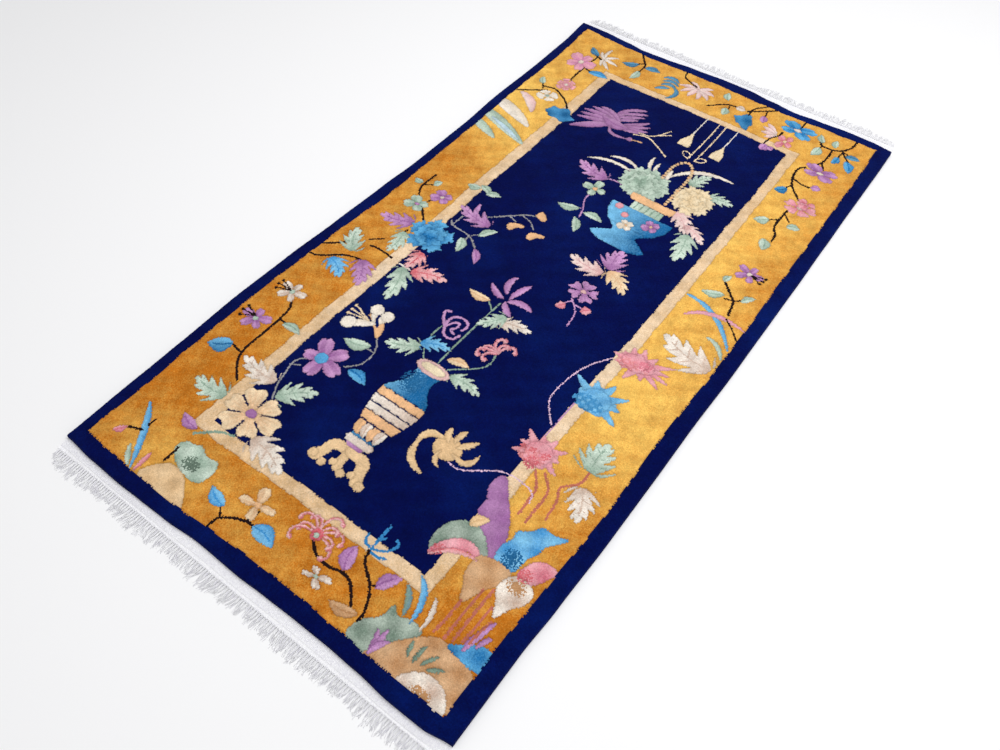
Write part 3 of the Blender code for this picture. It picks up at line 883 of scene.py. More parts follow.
def draw_burst(plan, x, y, body, reach, squash, first, last, points, tone, heart):
    """A bloom of pointed petals round one solid middle."""
    knots, along, side = plan.near(x, y, reach * 1.05)
    side = side / squash
    away, angle = np.hypot(along, side), np.degrees(np.arctan2(side, along))
    inside = away < body * (0.92 + 0.08 * np.sin(np.radians(5 * angle)))
    part = np.zeros(len(knots), dtype=int)
    for number in range(points):
        heading = first + (last - first) * number / (points - 1)
        longest = reach * (0.86 + 0.14 * np.cos(2.4 * number + 0.6))
        turn = np.radians((angle - heading + 180) % 360 - 180)
        forward, across = away * np.cos(turn), abs(away * np.sin(turn))
        place = (forward - 0.3 * body) / (longest - 0.3 * body)
        spike = (place > 0) & (place < 1) & (across < 0.30 * body * np.clip(1 - place, 0, 1) ** 0.55)
        inside |= spike
        part[spike & (away > 0.75 * body)] = number + 1
    shade = 0.52 - 0.4 * away / reach + 0.16 * np.sin(1.7 * along - 1.1 * side)
    plan.lay(knots[inside], tone, shade[inside], part[inside])
    spot = np.hypot((along + 0.2 * body) / 1.5, side + 0.4 * body) < 0.52 * body
    spot &= np.sin(3.4 * along + side) * np.sin(2.9 * side - along) > -0.25
    plan.tint(knots[spot], heart, 0.6)


def draw_flower(plan, x, y, radius, squash, petals, turn, notch, dent, tone, heart):
    """An open flower seen from above: parted petals, each with a dent at its tip."""
    knots, along, side = plan.near(x, y, radius * 1.2)
    side = side / squash
    reach = np.hypot(along, side)
    around = (np.degrees(np.arctan2(side, along)) - turn) * petals / 360
    petal = np.round(around)
    off = abs(around - petal) * 2
    rim = radius * (1 - notch * off**3 - dent * hump(off, 0, 0.34)) * (1 + 0.05 * np.cos(3 * petal))
    gap = (1 - off) * np.pi / petals * reach
    inside = (reach < rim) & ((gap > 0.2) | (reach < 0.3 * radius))
    shade = 0.95 - 0.85 * reach / rim + 0.15 * np.cos(12 * off)
    plan.lay(knots[inside], tone, shade[inside], (petal[inside] % petals).astype(int))
    middle = reach < 0.17 * radius
    plan.lay(knots[middle], heart, 0.8)


def draw_loose(plan, x, y, radius, squash, petals, first, slim, tone, heart):
    """A flower of separate rounded petals, each turned its own way round a small heart."""
    for number in range(petals):
        heading = first + 360 * number / petals
        turn = np.radians(heading)
        size = radius * (1 + 0.12 * np.cos(2.1 * number + radius))
        knots, along, side = plan.near(x, y, radius * 1.3)
        along, side = (
            along * np.cos(turn) + side / squash * np.sin(turn) - 0.58 * size,
            side / squash * np.cos(turn) - along * np.sin(turn),
        )
        half = 0.46 * size * slim * (1 + 0.28 * along / size)
        edge = (along / (0.45 * size)) ** 2 + (side / half) ** 2
        edge += 0.35 * hump(side, 0, 0.22 * half) * (along > 0.3 * size)
        inside = edge < 1
        shade = 0.55 - 0.8 * along / size + 0.2 * np.sign(side) * (abs(side) < 0.6 * half)
        plan.lay(knots[inside], tone, shade[inside])
    knots, along, side = plan.near(x, y, radius)
    plan.lay(knots[np.hypot(along, side / squash) < 0.19 * radius], heart, 0.5)


def draw_curls(plan, x, y, radius, petals, first, last, width, heart, tone):
    """Thin petals that spring from one point and curl over at their knobbed tips."""
    for number in range(petals):
        place = number / max(petals - 1, 1)
        bend = 1 if place > 0.5 else -1
        longest = radius * (1.3 - 0.32 * (number % 2))
        steps = np.linspace(0, 1, 15)
        course = np.radians(first + (last - first) * place) + bend * (2.7 * steps**2.6 - 0.2)
        run = longest / 14 * np.c_[np.cos(course), np.sin(course)]
        points = np.array((x, y)) + np.cumsum(run, axis=0) - run[0]
        knots, away, side, share = along_line(plan, points, width)
        thick = width / 2 * (0.85 + 0.6 * (share > 0.93))
        inside = away < thick
        plan.lay(knots[inside], tone, (0.35 + 0.3 * side)[inside])
    if heart:
        knots, along, side = plan.near(x, y, 2 * heart)
        plan.lay(knots[np.hypot(along, side) < heart], "rose", 0.9)


def draw_peony(plan, x, y, radius, squash, lobes, turn, tone):
    """A full flower of ruffled petals, outer ones first, deeper towards its middle."""
    petals = [(0.68, 0.41 - 0.40 / lobes, turn + 360 * step / lobes) for step in range(lobes)]
    petals += [(0.34, 0.34, turn + 25 + 72 * step) for step in range(5)] + [(0.08, 0.27, turn)]
    for number, (out, size, heading) in enumerate(petals):
        at_x = x + radius * out * np.cos(np.radians(heading))
        at_y = y + radius * out * squash * np.sin(np.radians(heading))
        knots, along, side = plan.near(at_x, at_y, radius * size * 1.4, heading)
        angle = np.arctan2(side, along)
        ruffle = 0.15 * np.sin(5 * angle + number) + 0.13 * np.sin(9 * angle) + 0.06 * np.sin(16 * angle)
        rim = radius * size * (1 + ruffle)
        reach = np.hypot(along, side * 0.85)
        inside = reach < rim
        shade = 0.55 - 0.5 * along / rim + 0.1 * (number % 3)
        plan.lay(knots[inside], tone, shade[inside])


def draw_shape(plan, tone, corners):
    """A broad shape whose corners are rounded off, with a soft drift of its two yarns."""
    outline = rounded(corners, 3, closed=True)
    middle = (outline.max(axis=0) + outline.min(axis=0)) / 2
    knots, dx, dy = plan.near(middle[0], middle[1], np.ptp(outline, axis=0).max() / 2 + 0.5)
    inside = np.zeros(len(knots), dtype=bool)
    for a, b in zip(outline - middle, np.roll(outline, -1, axis=0) - middle):
        if a[1] != b[1]:
            crossed = ((a[1] > dy) != (b[1] > dy)) & (dx < (b[0] - a[0]) * (dy - a[1]) / (b[1] - a[1]) + a[0])
            inside ^= crossed
    shade = 0.5 + 0.22 * np.sin(1.1 * dx + 0.6 * dy) + 0.2 * np.sin(0.7 * dx - 1.3 * dy + 1)
    plan.lay(knots[inside], tone, shade[inside])


def draw_blade(plan, tone, width, start, bend, end):
    """A long leaf or petal along a curve, thin at both ends."""
    share = np.linspace(0, 1, 15)[:, None]
    points = (
        (1 - share) ** 2 * np.array(start) + 2 * share * (1 - share) * np.array(bend) + share**2 * np.array(end)
    )
    knots, away, side, place = along_line(plan, points, width)
    half = width / 2 * np.sin(np.pi * (0.07 + 0.88 * place)) ** 0.7
    inside = away < half
    shade = 0.4 + 0.4 * side * away / half
    plan.lay(knots[inside], tone, shade[inside])


def draw_stem(plan, tone, width, points):
    """A stem of even width through its points."""
    knots, away, _, _ = along_line(plan, rounded(points, 2), width)
    plan.tint(knots[away < 0.41 * width], tone, 0.4)


def draw_disc(plan, x, y, radius, tone, share=0.4, squash=1.0, heading=0.0):
    """A round or oval spot."""
    knots, along, side = plan.near(x, y, radius * 1.1, heading)
    plan.lay(knots[np.hypot(along, side / squash) < radius], tone, share)


def draw_spot(plan, x, y, radius, tone, squash=1.0):
    """A speckled spot inside a motif, without carving round it."""
    knots, along, side = plan.near(x, y, radius * 1.1)
    reach = np.hypot(along, side / squash) / radius
    inside = (reach < 1) & (plan.grain[knots] > 0.75 * reach**2)
    plan.tint(knots[inside], tone, 0.8)


def draw_band(plan, x, y, rows, tone, left=0.1, right=0.9, wave=0.0):
    """A slice of a vessel seen from the side: rows of (height, half width) upwards from y."""
    heights, halves = np.array(rows, dtype=float).T
    knots, across, up = plan.near(x, y, max(abs(heights).max(), halves.max()) + 1)
    half = np.interp(up, heights, halves)
    lift = up + wave * np.sin(2.6 * across)
    inside = (lift >= heights[0]) & (lift <= heights[-1]) & (abs(across) < half)
    share = left + (right - left) * (0.5 + 0.5 * across / np.maximum(half, 0.01))
    plan.lay(knots[inside], tone, share[inside])


def draw_stamens(plan, x, y, tips):
    """Fine dark stamens with a knob at each tip."""
    for tip in tips:
        draw_stem(plan, "twig", 0.36, ((x, y), tip))
        draw_disc(plan, *tip, 0.36, "twig")


def draw_ground(plan, across, along):
    """The navy outer band, the gold border, the tan guard and the navy field, with painted light and shade of the nap
    on the navy and the gold, mixed with the drift of their dyes.
    """
    x, y = plan.x, plan.y
    slow = np.sin(0.11 * x + 0.05 * y + 0.4) + np.sin(0.071 * y - 0.13 * x) + np.sin(0.23 * x + 0.17 * y)
    patch = np.sin(0.83 * x - 0.61 * y + 1) + np.sin(0.77 * y + 0.49 * x + 2) + np.sin(1.31 * y - 0.9 * x)
    fleck = np.sin(2.3 * x + 1.1 * y) + np.sin(2.9 * y - 1.7 * x + 1)
    left, right = smooth_step((-10 - x) / 30), smooth_step((x - 15) / 20)
    # Painted light and shade on the gold, mixed with the dye's own drift: the share of the deep yarn grows towards the
    # near end and rises and falls in patches along the sides and the ends
    gold_painted_shading_and_drift = 0.40 + 0.44 * smooth_step((-y - 38) / 40) + 0.05 * smooth_step((y - 60) / 20)
    gold_painted_shading_and_drift += left * (0.24 * smooth_step((20 - y) / 30) + 0.40 * hump(y, 15, 15) - 0.30 * hump(y, 45, 17))
    gold_painted_shading_and_drift += left * 0.14 * hump(y, -30, 20) - 0.42 * hump(x, -30, 28) * hump(y, -80, 7)
    gold_painted_shading_and_drift += right * (0.022 * (x - 36) - 0.24 * hump(y, -14, 18) + 0.16 * hump(y, -42, 9) + 0.07 * hump(y, 27, 7))
    gold_painted_shading_and_drift += hump(y, 80, 9) * (0.16 * hump(x, 8, 12) + 0.12 * smooth_step((-30 - x) / 8))
    gold_painted_shading_and_drift += 0.20 * hump(x, 22, 16) * hump(y, -76, 9)
    # Painted sheen patches of the nap, mixed with the wool's own mottle, on the gold and the guard
    spread = 0.05 * slow + 0.045 * patch + 0.03 * fleck
    # Painted sheen on the navy, mixed with the dye's own drift: lighter towards the far end, along the side edges and
    # in patches, where the nap catches light
    nap = 0.90 - 0.06 * slow - 0.04 * patch - 0.3 * smooth_step((y - 62) / 22) * (abs(across) < COLUMN_SHARES[6])
    nap -= (0.30 * (x < 0) + 0.12) * smooth_step((abs(x) - 42) / 4) * smooth_step((y + 30) / 70)
    nap -= 0.26 * np.clip(np.sin(0.19 * x + 0.07 * y + 4.1) * np.sin(0.16 * y - 0.05 * x + 1.2), 0, 1) ** 1.4
    pale = 0.72 - 0.50 * hump(x, -27, 6) * hump(y, -21, 13) - 0.48 * hump(x, 27, 6) * hump(y, -20, 24)
    everything = np.arange(len(x))
    plan.lay(everything, "navy", nap)
    for side_share, end_share, tone, share in (
        (COLUMN_SHARES[6], ROW_SHARES[6], "gold", gold_painted_shading_and_drift + spread),
        (COLUMN_SHARES[5], ROW_SHARES[5], "edging", pale + spread),
        (COLUMN_SHARES[4], ROW_SHARES[4], "navy", nap),
    ):
        inside = (abs(across) < side_share) & (abs(along) < end_share)
        plan.lay(everything[inside], tone, share[inside])
        if tone == "gold":
            plan.worked = inside


def draw_vase(plan):
    """The standing vase with its banded belly and scrolled foot."""
    x = -1.0
    for width, points in (
        (2.3, ((-1.2, -58.3), (-4.7, -58.5), (-5.0, -60.8), (-5.8, -62.6))),
        (1.9, ((-1.0, -58.3), (-1.2, -60.4), (-0.8, -62.2))),
        (2.3, ((-0.8, -58.3), (2.9, -58.5), (3.3, -60.8), (4.2, -62.6))),
    ):
        knots, away, _, _ = along_line(plan, rounded(points, 2), width)
        inside = away < width / 2
        plan.lay(knots[inside], "guard", 0.3)
    for place, height, radius in (
        (-6.4, -62.5, 1.0), (-3.8, -63.1, 0.9), (-2.1, -61.8, 0.8),
        (0.6, -62.9, 0.9), (5.1, -63.0, 1.0), (2.4, -62.0, 0.8),
    ):
        draw_disc(plan, place, height, radius, "guard", 0.3)
    draw_band(plan, x, -57.6, ((0, 1.6), (0.9, 2.3)), "lilac")
    draw_band(plan, x, -56.8, ((0, 2.8), (0.8, 3.3), (1.6, 2.9)), "white", 0.2, 0.7)
    draw_band(plan, x, -55.2, ((0, 2.7), (0.7, 2.8)), "deep_blue")
    draw_band(plan, x, -54.6, ((0, 2.7), (1.2, 2.9), (3.5, 3.9)), "navy", 0.7, 0.9)
    for number in range(4):
        lean = (number - 1.5) / 1.5
        tone = ("peach", "white")[number % 2]
        draw_leaf(plan, x + 2.5 * lean, -52.7, 4.4, 1.9, 90 - 14 * lean, tone)
    for low, high, tone in (
        (-51.3, -49.2, "peach"), (-49.0, -47.3, "white"), (-47.1, -45.3, "white"), (-45.1, -43.2, "peach"),
    ):
        place = np.array((low, high))
        rows = tuple(zip(place - low, np.interp(place, (-52, -50, -48, -46, -43), (3.6, 4.3, 4.9, 5.3, 5.4))))
        draw_band(plan, x, low - 0.24, ((0.0, rows[0][1]), (0.6, rows[0][1])), "navy", 0.6, 0.8)
        draw_band(plan, x, low, rows, tone, 0.1, 0.8, 0.12)
    neck = ((0, 5.3), (1.2, 4.7), (2.6, 3.5), (4.2, 2.6), (5.8, 2.3), (7.6, 2.9), (8.2, 3.4))
    draw_band(plan, x, -43.1, neck, "bowl", 0.25, 1.5)
    draw_spot(plan, -2.2, -39.0, 2.6, "deep_blue", 1.3)
    draw_disc(plan, x, -34.4, 3.9, "blush", 0.7, 0.44)
    draw_disc(plan, x, -34.3, 2.9, "yellow", 0.1, 0.36)


def draw_basket(plan):
    """The footed bowl with its striped rim, its flowers, and the cords and tassels over it."""
    for x in (3.7, 12.3):
        draw_stem(plan, "white_twig", 0.34, ((x, 70), (x, 61)))
        knots, across, up = plan.near(x, 59.4, 3.4)
        inside = (abs(up) < 2.7) & (abs(across) < 0.4 + 1.1 * smooth_step((2.4 - up) / 3.6))
        plan.lay(knots[inside], "yellow", (0.4 + 0.35 * np.cos(9 * across))[inside])
    for x in (7.2, 9.0):
        draw_stem(plan, "cream_twig", 0.38, ((x, 70), (x + 0.3, 62), (x, 53)))
    for x, heading in ((6.2, 145), (10.1, 35)):
        knots, along, side = plan.near(x, 54.2, 2.2, heading)
        loop = abs(np.hypot(along / 1.6, side) - 0.8) < 0.12
        plan.tint(knots[loop], "cream_twig")
    handle = ((5.9, 43), (5.7, 47), (6.2, 50.2), (8.3, 52.2), (10.4, 50.2), (11.2, 47), (11.1, 35.4))
    line = rounded(handle, 3)
    passed = np.concatenate(((0,), np.cumsum(np.hypot(*np.diff(line, axis=0).T))))
    for number, place in enumerate(np.arange(0.3, passed[-1], 0.95)):
        bead = (np.interp(place, passed, line[:, 0]), np.interp(place, passed, line[:, 1]))
        draw_disc(plan, *bead, 0.44, "peach" if number % 3 == 1 else "guard", 0.3)
    foot = ((0, 3.6), (0.9, 6.2), (1.8, 7.1), (3.0, 5.4), (4.5, 3.0), (5.6, 3.4), (7.6, 6.0))
    bowl = ((6.8, 4.8), (7.6, 6.0), (10.4, 7.6), (12.6, 7.9), (13.2, 7.8))
    draw_band(plan, 8.6, 16.5, foot, "bowl", 0.0, 1.0)
    draw_band(plan, 8.6, 16.5, bowl, "bowl", 0.0, 1.1)
    draw_band(plan, 8.8, 29.7, ((0, 4.0), (2.6, 3.9)), "sage", 0.1, 0.8)
    for number in range(5):
        draw_stem(plan, "pale_twig", 0.4, ((6.0 + 1.4 * number, 30), (6.2 + 1.4 * number, 32.1)))
    draw_band(plan, 8.8, 32.4, ((0, 5.2), (1.2, 5.8), (2.4, 5.7)), "peach", 0.0, 0.7)
    draw_disc(plan, 3.0, 28.7, 1.0, "pink", 0.3)
    draw_disc(plan, 5.5, 26.8, 0.9, "rose", 0.5)
    draw_loose(plan, 7.5, 24.0, 1.9, 1.0, 4, 45, 1.0, "pearl", "peach")
    draw_loose(plan, 12.4, 27.0, 2.1, 1.0, 4, 45, 1.0, "lilac", "cream")


def draw_bird(plan):
    """A flying crane, wings spread, with a long tail and neck."""
    feathers = (
        (2.2, (-14.2, 53.6), (-15.6, 57.4), (-14.0, 60.8)),
        (1.3, (-15.0, 59.4), (-12.8, 61.9), (-10.2, 62.9)),
        (1.3, (-15.0, 57.8), (-12.2, 60.2), (-9.2, 61.6)),
        (1.3, (-14.8, 56.4), (-12.0, 58.6), (-9.2, 60.0)),
        (1.2, (-14.4, 55.2), (-12.2, 57.0), (-10.0, 58.2)),
        (1.4, (-12.6, 54.2), (-9.2, 56.4), (-7.2, 59.0)),
        (1.4, (-12.6, 53.6), (-9.2, 55.2), (-6.2, 57.4)),
        (1.4, (-12.4, 53.2), (-9.0, 54.2), (-5.8, 55.6)),
        (1.2, (-12.4, 52.8), (-9.6, 53.4), (-7.2, 54.0)),
        (2.0, (-13.2, 54.6), (-17.0, 57.6), (-20.4, 57.6)),
        (1.6, (-13.8, 54.4), (-18.6, 56.6), (-22.2, 56.4)),
        (1.6, (-13.8, 54.0), (-19.0, 55.4), (-23.5, 54.4)),
        (1.6, (-13.8, 53.6), (-19.0, 54.0), (-23.4, 52.6)),
        (1.6, (-13.8, 53.2), (-18.6, 52.6), (-23.4, 50.9)),
        (2.4, (-14.6, 53.0), (-18.4, 50.2), (-22.6, 46.9)),
    )
    for width, *course in feathers:
        draw_blade(plan, "plum", width, *course)
    draw_leaf(plan, -14.4, 53.8, 8.2, 3.4, 172, "plum")
    draw_disc(plan, -22.4, 47.0, 0.8, "plum", 0.7, 0.6, 30)
    draw_blade(plan, "plum", 1.0, (-14.5, 52.2), (-13.4, 48.6), (-8.6, 50.4))
    draw_disc(plan, -7.9, 50.6, 0.8, "plum")
    draw_stem(plan, "peach_twig", 0.5, ((-7.2, 50.7), (-4.8, 51.2)))


def draw_crab_flower(plan):
    """The tan flower with curved, claw-like petals."""
    draw_disc(plan, 12.8, -47.0, 3.0, "guard", 0.7, 0.86)
    for start, bend, end, width in (
        ((11, -45.6), (6.6, -45.4), (7.4, -49.4), 1.7),
        ((7.4, -48.6), (7.2, -53.4), (12.2, -54), 1.5),
        ((14.4, -47.4), (18.6, -49.0), (18.6, -44.8), 1.3),
        ((12, -45.8), (10.6, -44.6), (10.8, -43.0), 1.4),
        ((13, -45.2), (12.8, -43.6), (13.6, -42.0), 1.4),
        ((14.2, -45.8), (15.4, -44.6), (16.8, -42.6), 1.4),
        ((12, -48), (11.6, -50.4), (13.8, -51.2), 1.0),
    ):
        draw_blade(plan, "guard", width, start, bend, end)


def draw_orchid(plan):
    """The pale flower of three round lobes on the left of the field."""
    draw_blade(plan, "peach", 2.3, (-20.2, -31.2), (-16.6, -31.2), (-15.4, -35.0))
    for x, y, radius in ((-20.0, -29.3, 1.5), (-17.0, -29.5, 1.4), (-22.7, -35.3, 1.6)):
        draw_blade(plan, "pearl", 1.9, (1.2 * x + 3.6, 1.2 * y + 6.5), ((x - 18) / 2, (y - 32.6) / 2), (-18.0, -32.6))
        draw_disc(plan, x, y, radius, "pearl", 0.25)
    draw_stem(plan, "navy", 0.8, ((-18.6, -30.4), (-18.2, -31.6), (-17.0, -32.8)))
    for y in (-31.0, -32.3, -33.5):
        draw_stem(plan, "cream_twig", 0.42, ((-19.6, -32.6), (-24.2, y)))
        draw_disc(plan, -24.4, y, 0.36, "cream", 0.2)


def draw_corner(plan):
    """Details of the rocks and leaves heaped up in the right corner, and the speckles in the lotus flowers."""
    draw_leaf(plan, 26.6, -55.3, 3.8, 2.2, 50, "guard")
    draw_blade(plan, "rose", 1.0, (23.4, -65.2), (26.0, -61.4), (30.8, -61.4))
    draw_spot(plan, 24.2, -63.6, 1.2, "rose")
    draw_spot(plan, 32.0, -8.4, 1.6, "pink")
    for x, y, radius in ((23.6, -37.9, 0.7), (25.6, -37.7, 0.8), (28.3, -37.6, 1.0), (26.9, -40.2, 1.5)):
        draw_spot(plan, x, y, radius, "rose")
    draw_spot(plan, 35.4, -57.6, 2.0, "deep_blue")
    draw_spot(plan, 38.9, -58.8, 1.4, "rose")
    draw_spot(plan, 39.0, -61.4, 2.0, "rock", 0.7)
    draw_spot(plan, 37.3, -84.6, 2.2, "rock", 0.6)
    for tip in ((25.4, -80.6), (26.8, -79.6), (28.2, -81)):
        draw_blade(plan, "lilac", 1.2, (26.6, -84.4), (26.8, -82.4), tip)
    for foot, tip in (
        ((31.9, -81.0), (31.2, -78.4)), ((33.2, -81.2), (33.4, -78.0)),
        ((34.5, -80.9), (36.0, -78.2)), ((35.9, -80.9), (38.2, -79.3)),
    ):
        draw_blade(plan, "sage_shade", 0.8, foot, ((foot[0] + tip[0]) / 2 - 0.2, (foot[1] + tip[1]) / 2), tip)
    draw_spot(plan, -22.2, -77.8, 2.0, "sage_shade", 0.8)
    draw_disc(plan, 5.8, -74.3, 0.5, "sage")


def draw_all(x, y, across, along, colours):
    """The whole pattern at the knots' places in centimetres. Returns colours and carved regions."""
    aside, onward = 0.045 * np.random.default_rng(43).standard_normal((2, len(x)))
    x, y = x + aside, y + onward
    across = across + (aside + 0.09 * np.sin(0.7 * y + 1) + 0.05 * np.sin(1.9 * y)) / HALF_WIDTH
    along = along + (onward + 0.09 * np.sin(0.8 * x) + 0.05 * np.sin(1.7 * x + 2)) / HALF_LENGTH
    plan = KnotPlan(x, y, palette(colours))
    draw_ground(plan, across, along)
    for shape in SHAPES:
        draw_shape(plan, *shape)
    for tone, width, *course in BLADES:
        draw_blade(plan, tone, width, *course)
    for tone, rows in STEMS:
        for width, *points in rows:
            draw_stem(plan, tone, width, points)
    draw_rows(plan, draw_leaf, LEAF_COLUMNS, LEAVES)
    draw_rows(plan, draw_cut_leaf, LEAF_COLUMNS, CUT_LEAVES)
    draw_rows(plan, draw_peony, PEONY_COLUMNS, PEONIES)
    draw_basket(plan)
    draw_rows(plan, draw_burst, BURST_COLUMNS, BURSTS)
    draw_vase(plan)
    draw_rows(plan, draw_flower, FLOWER_COLUMNS, FLOWERS)
    for radius, tone in ((1.7, "rose"), (1.1, "pink"), (0.5, "white")):
        draw_disc(plan, -33.0, 59.8, radius, tone)
    draw_rows(plan, draw_loose, LOOSE_COLUMNS, LOOSE_FLOWERS)
    draw_rows(plan, draw_curls, CURL_COLUMNS, CURLS)
    draw_stamens(plan, 37.4, 27.0, ((40.5, 28), (40.3, 27), (40, 26)))
    draw_stamens(plan, -38.8, -45.8, ((-42.0, -44.6), (-42.2, -46), (-41.8, -47.4)))
    draw_stamens(plan, -38.0, -36.2, ((-41.4, -35.2), (-41.6, -36.4), (-41.2, -37.6)))
    draw_disc(plan, -20.4, -45.6, 1.4, "blue")
    draw_bird(plan)
    draw_crab_flower(plan)
    draw_orchid(plan)
    draw_corner(plan)
    return plan.colour, plan.region


def clear_selection():
    """Nothing stays selected or active."""
    if bpy.context.object and bpy.context.object.mode != "OBJECT":
        bpy.ops.object.mode_set(mode="OBJECT")
    bpy.ops.object.select_all(action="DESELECT")


def coordinates(mesh):
    """A mesh's vertices as an array."""
    values = np.empty(len(mesh.vertices) * 3)
    mesh.vertices.foreach_get("co", values)
    return values.reshape(-1, 3)


def place_vertices(mesh, points):
    """Moves a mesh's vertices to the given places."""
    mesh.vertices.foreach_set("co", np.ascontiguousarray(points, dtype=float).ravel())
    mesh.update()


def new_grid(name, cells_across, cells_along):
    """A square grid from 0 to 1 both ways, ready to be shaped."""
    clear_selection()
    bpy.ops.mesh.primitive_grid_add(
        x_subdivisions=cells_across, y_subdivisions=cells_along, size=1.0, location=(0.5, 0.5, 0.0)
    )
    made = bpy.context.object
    bpy.ops.object.transform_apply(location=True, rotation=False, scale=False)
    made.name = name
    made.data.name = name
    return made


def select_edges(made, wanted):
    """Opens a piece in edit mode with only the wanted edges selected."""
    bpy.ops.object.mode_set(mode="EDIT")
    bpy.ops.mesh.select_mode(type="EDGE")
    bpy.ops.mesh.select_all(action="DESELECT")
    bm = bmesh.from_edit_mesh(made.data)
    for edge in bm.edges:
        if wanted(edge):
            edge.select_set(True)
    bmesh.update_edit_mesh(made.data)


def drop_walls(made, floor_z, keep=None):
    """Draws the open rim of a sheet down to a height, as its side walls. keep(point) picks the rim."""
    select_edges(made, lambda edge: edge.is_boundary and (keep is None or all(keep(end.co) for end in edge.verts)))
    bpy.ops.mesh.extrude_region_move(TRANSFORM_OT_translate={"value": (0.0, 0.0, -0.001)})
    for vertex in bmesh.from_edit_mesh(made.data).verts:
        if vertex.select:
            vertex.co.z = floor_z
    bmesh.update_edit_mesh(made.data)
    bpy.ops.object.mode_set(mode="OBJECT")


def face_centres(mesh):
    """The middle of every face as an array."""
    values = np.empty(len(mesh.polygons) * 3)
    mesh.polygons.foreach_get("center", values)
    return values.reshape(-1, 3)


def loop_tables(mesh):
    """For every face corner, the vertex and the face that it belongs to."""
    vertex = np.empty(len(mesh.loops), dtype=np.int64)
    mesh.loops.foreach_get("vertex_index", vertex)
    count = np.empty(len(mesh.polygons), dtype=np.int64)
    mesh.polygons.foreach_get("loop_total", count)
    return vertex, np.repeat(np.arange(len(count)), count)


def write_corner_colours(mesh, values):
    """Stores a colour for every face corner under the name knots."""
    layer = mesh.color_attributes.new(name="knots", type="FLOAT_COLOR", domain="CORNER")
    layer.data.foreach_set("color", np.c_[values, np.ones(len(values))].ravel())


def knot_colours(made, across, along, colours, groove_painted_shade, seed):
    """Colours every face as one knot, with painted shade darkening the colour at the edges carved round the motifs, and
    returns at every vertex whether it lies on such an edge.
    """
    mesh = made.data
    shift = plan_shift()
    centres = face_centres(mesh)
    x, y = (centres[:, 0] - shift[0]) / CM, (centres[:, 1] - shift[1]) / CM
    vertex, face = loop_tables(mesh)
    corners = np.bincount(face)
    across = np.bincount(face, across[vertex]) / corners
    along = np.bincount(face, along[vertex]) / corners
    colour, region = draw_all(x, y, across, along, colours)
    lowest = np.full(len(mesh.vertices), region.max() + 1)
    highest = np.zeros(len(mesh.vertices), dtype=int)
    np.minimum.at(lowest, vertex, region[face])
    np.maximum.at(highest, vertex, region[face])
    carved = (lowest != highest).astype(float)
    draw = np.random.default_rng(seed)
    speckle = 1.0 + 0.05 * draw.standard_normal(len(colour))
    colour = colour * np.clip(speckle, 0.8, 1.2)[:, None]
    # Painted shade: the colour is darkened where a vertex lies on a carved edge
    write_corner_colours(mesh, np.clip(colour[face] * (1 - groove_painted_shade * carved[vertex])[:, None], 0, 1))
    return carved


def nearest_rows(wanted, offered):
    """For each wanted point, the row of the nearest offered one."""
    return np.array([((offered - point) ** 2).sum(axis=1).argmin() for point in wanted])


def pile_top(across_cm, along_cm, x, y, sizes, height):
    """Height of the pile by how far a knot is from the edges, with a soft rim."""
    radius = sizes.rim_radius
    away = np.minimum(across_cm, along_cm) * CM
    drop = radius - np.sqrt(np.maximum(radius**2 - np.clip(radius - away, 0, radius) ** 2, 0))
    wave = 0.0004 * (np.sin(0.19 * x + 0.05 * y) + np.sin(0.11 * y - 0.07 * x + 1.3))
    return height - 0.0006 + wave - drop * 0.9


def rim_steps(cells, rim):
    """Shares from 0 to 1 whose first and last steps are short, so that the rounded rim has its own rows."""
    inner = np.linspace(rim, 1 - rim, cells - 5)
    edge = rim * np.array((0.0, 0.22, 0.58))
    return np.concatenate((edge, inner, (1 - edge)[::-1]))


def fibre_material(name, roughness, specular, sheen):
    """A new material with the dull finish of fibre: itself, its node tree and its shader."""
    material = bpy.data.materials.new(name)
    material.use_nodes = True
    shader = material.node_tree.nodes["Principled BSDF"]
    shader.inputs["Roughness"].default_value = roughness
    shader.inputs["Specular IOR Level"].default_value = specular
    shader.inputs["Sheen Weight"].default_value = sheen
    return material, material.node_tree, shader


def new_noise(tree, scale, detail):
    """A noise node of a given scale and detail."""
    noise = tree.nodes.new("ShaderNodeTexNoise")
    noise.inputs["Scale"].default_value = scale
    noise.inputs["Detail"].default_value = detail
    return noise


def new_spread(tree, noise, low, high):
    """A node that spreads the middle of a noise from low to high."""
    spread = tree.nodes.new("ShaderNodeMapRange")
    for name, value in (("From Min", 0.3), ("From Max", 0.7), ("To Min", low), ("To Max", high)):
        spread.inputs[name].default_value = value
    tree.links.new(noise.outputs["Fac"], spread.inputs["Value"])
    return spread


def add_relief(tree, shader, noise, strength, distance):
    """Raises the surface a little where a noise is high."""
    relief = tree.nodes.new("ShaderNodeBump")
    relief.inputs["Strength"].default_value = strength
    relief.inputs["Distance"].default_value = distance
    tree.links.new(noise.outputs["Fac"], relief.inputs["Height"])
    tree.links.new(relief.outputs["Normal"], shader.inputs["Normal"])


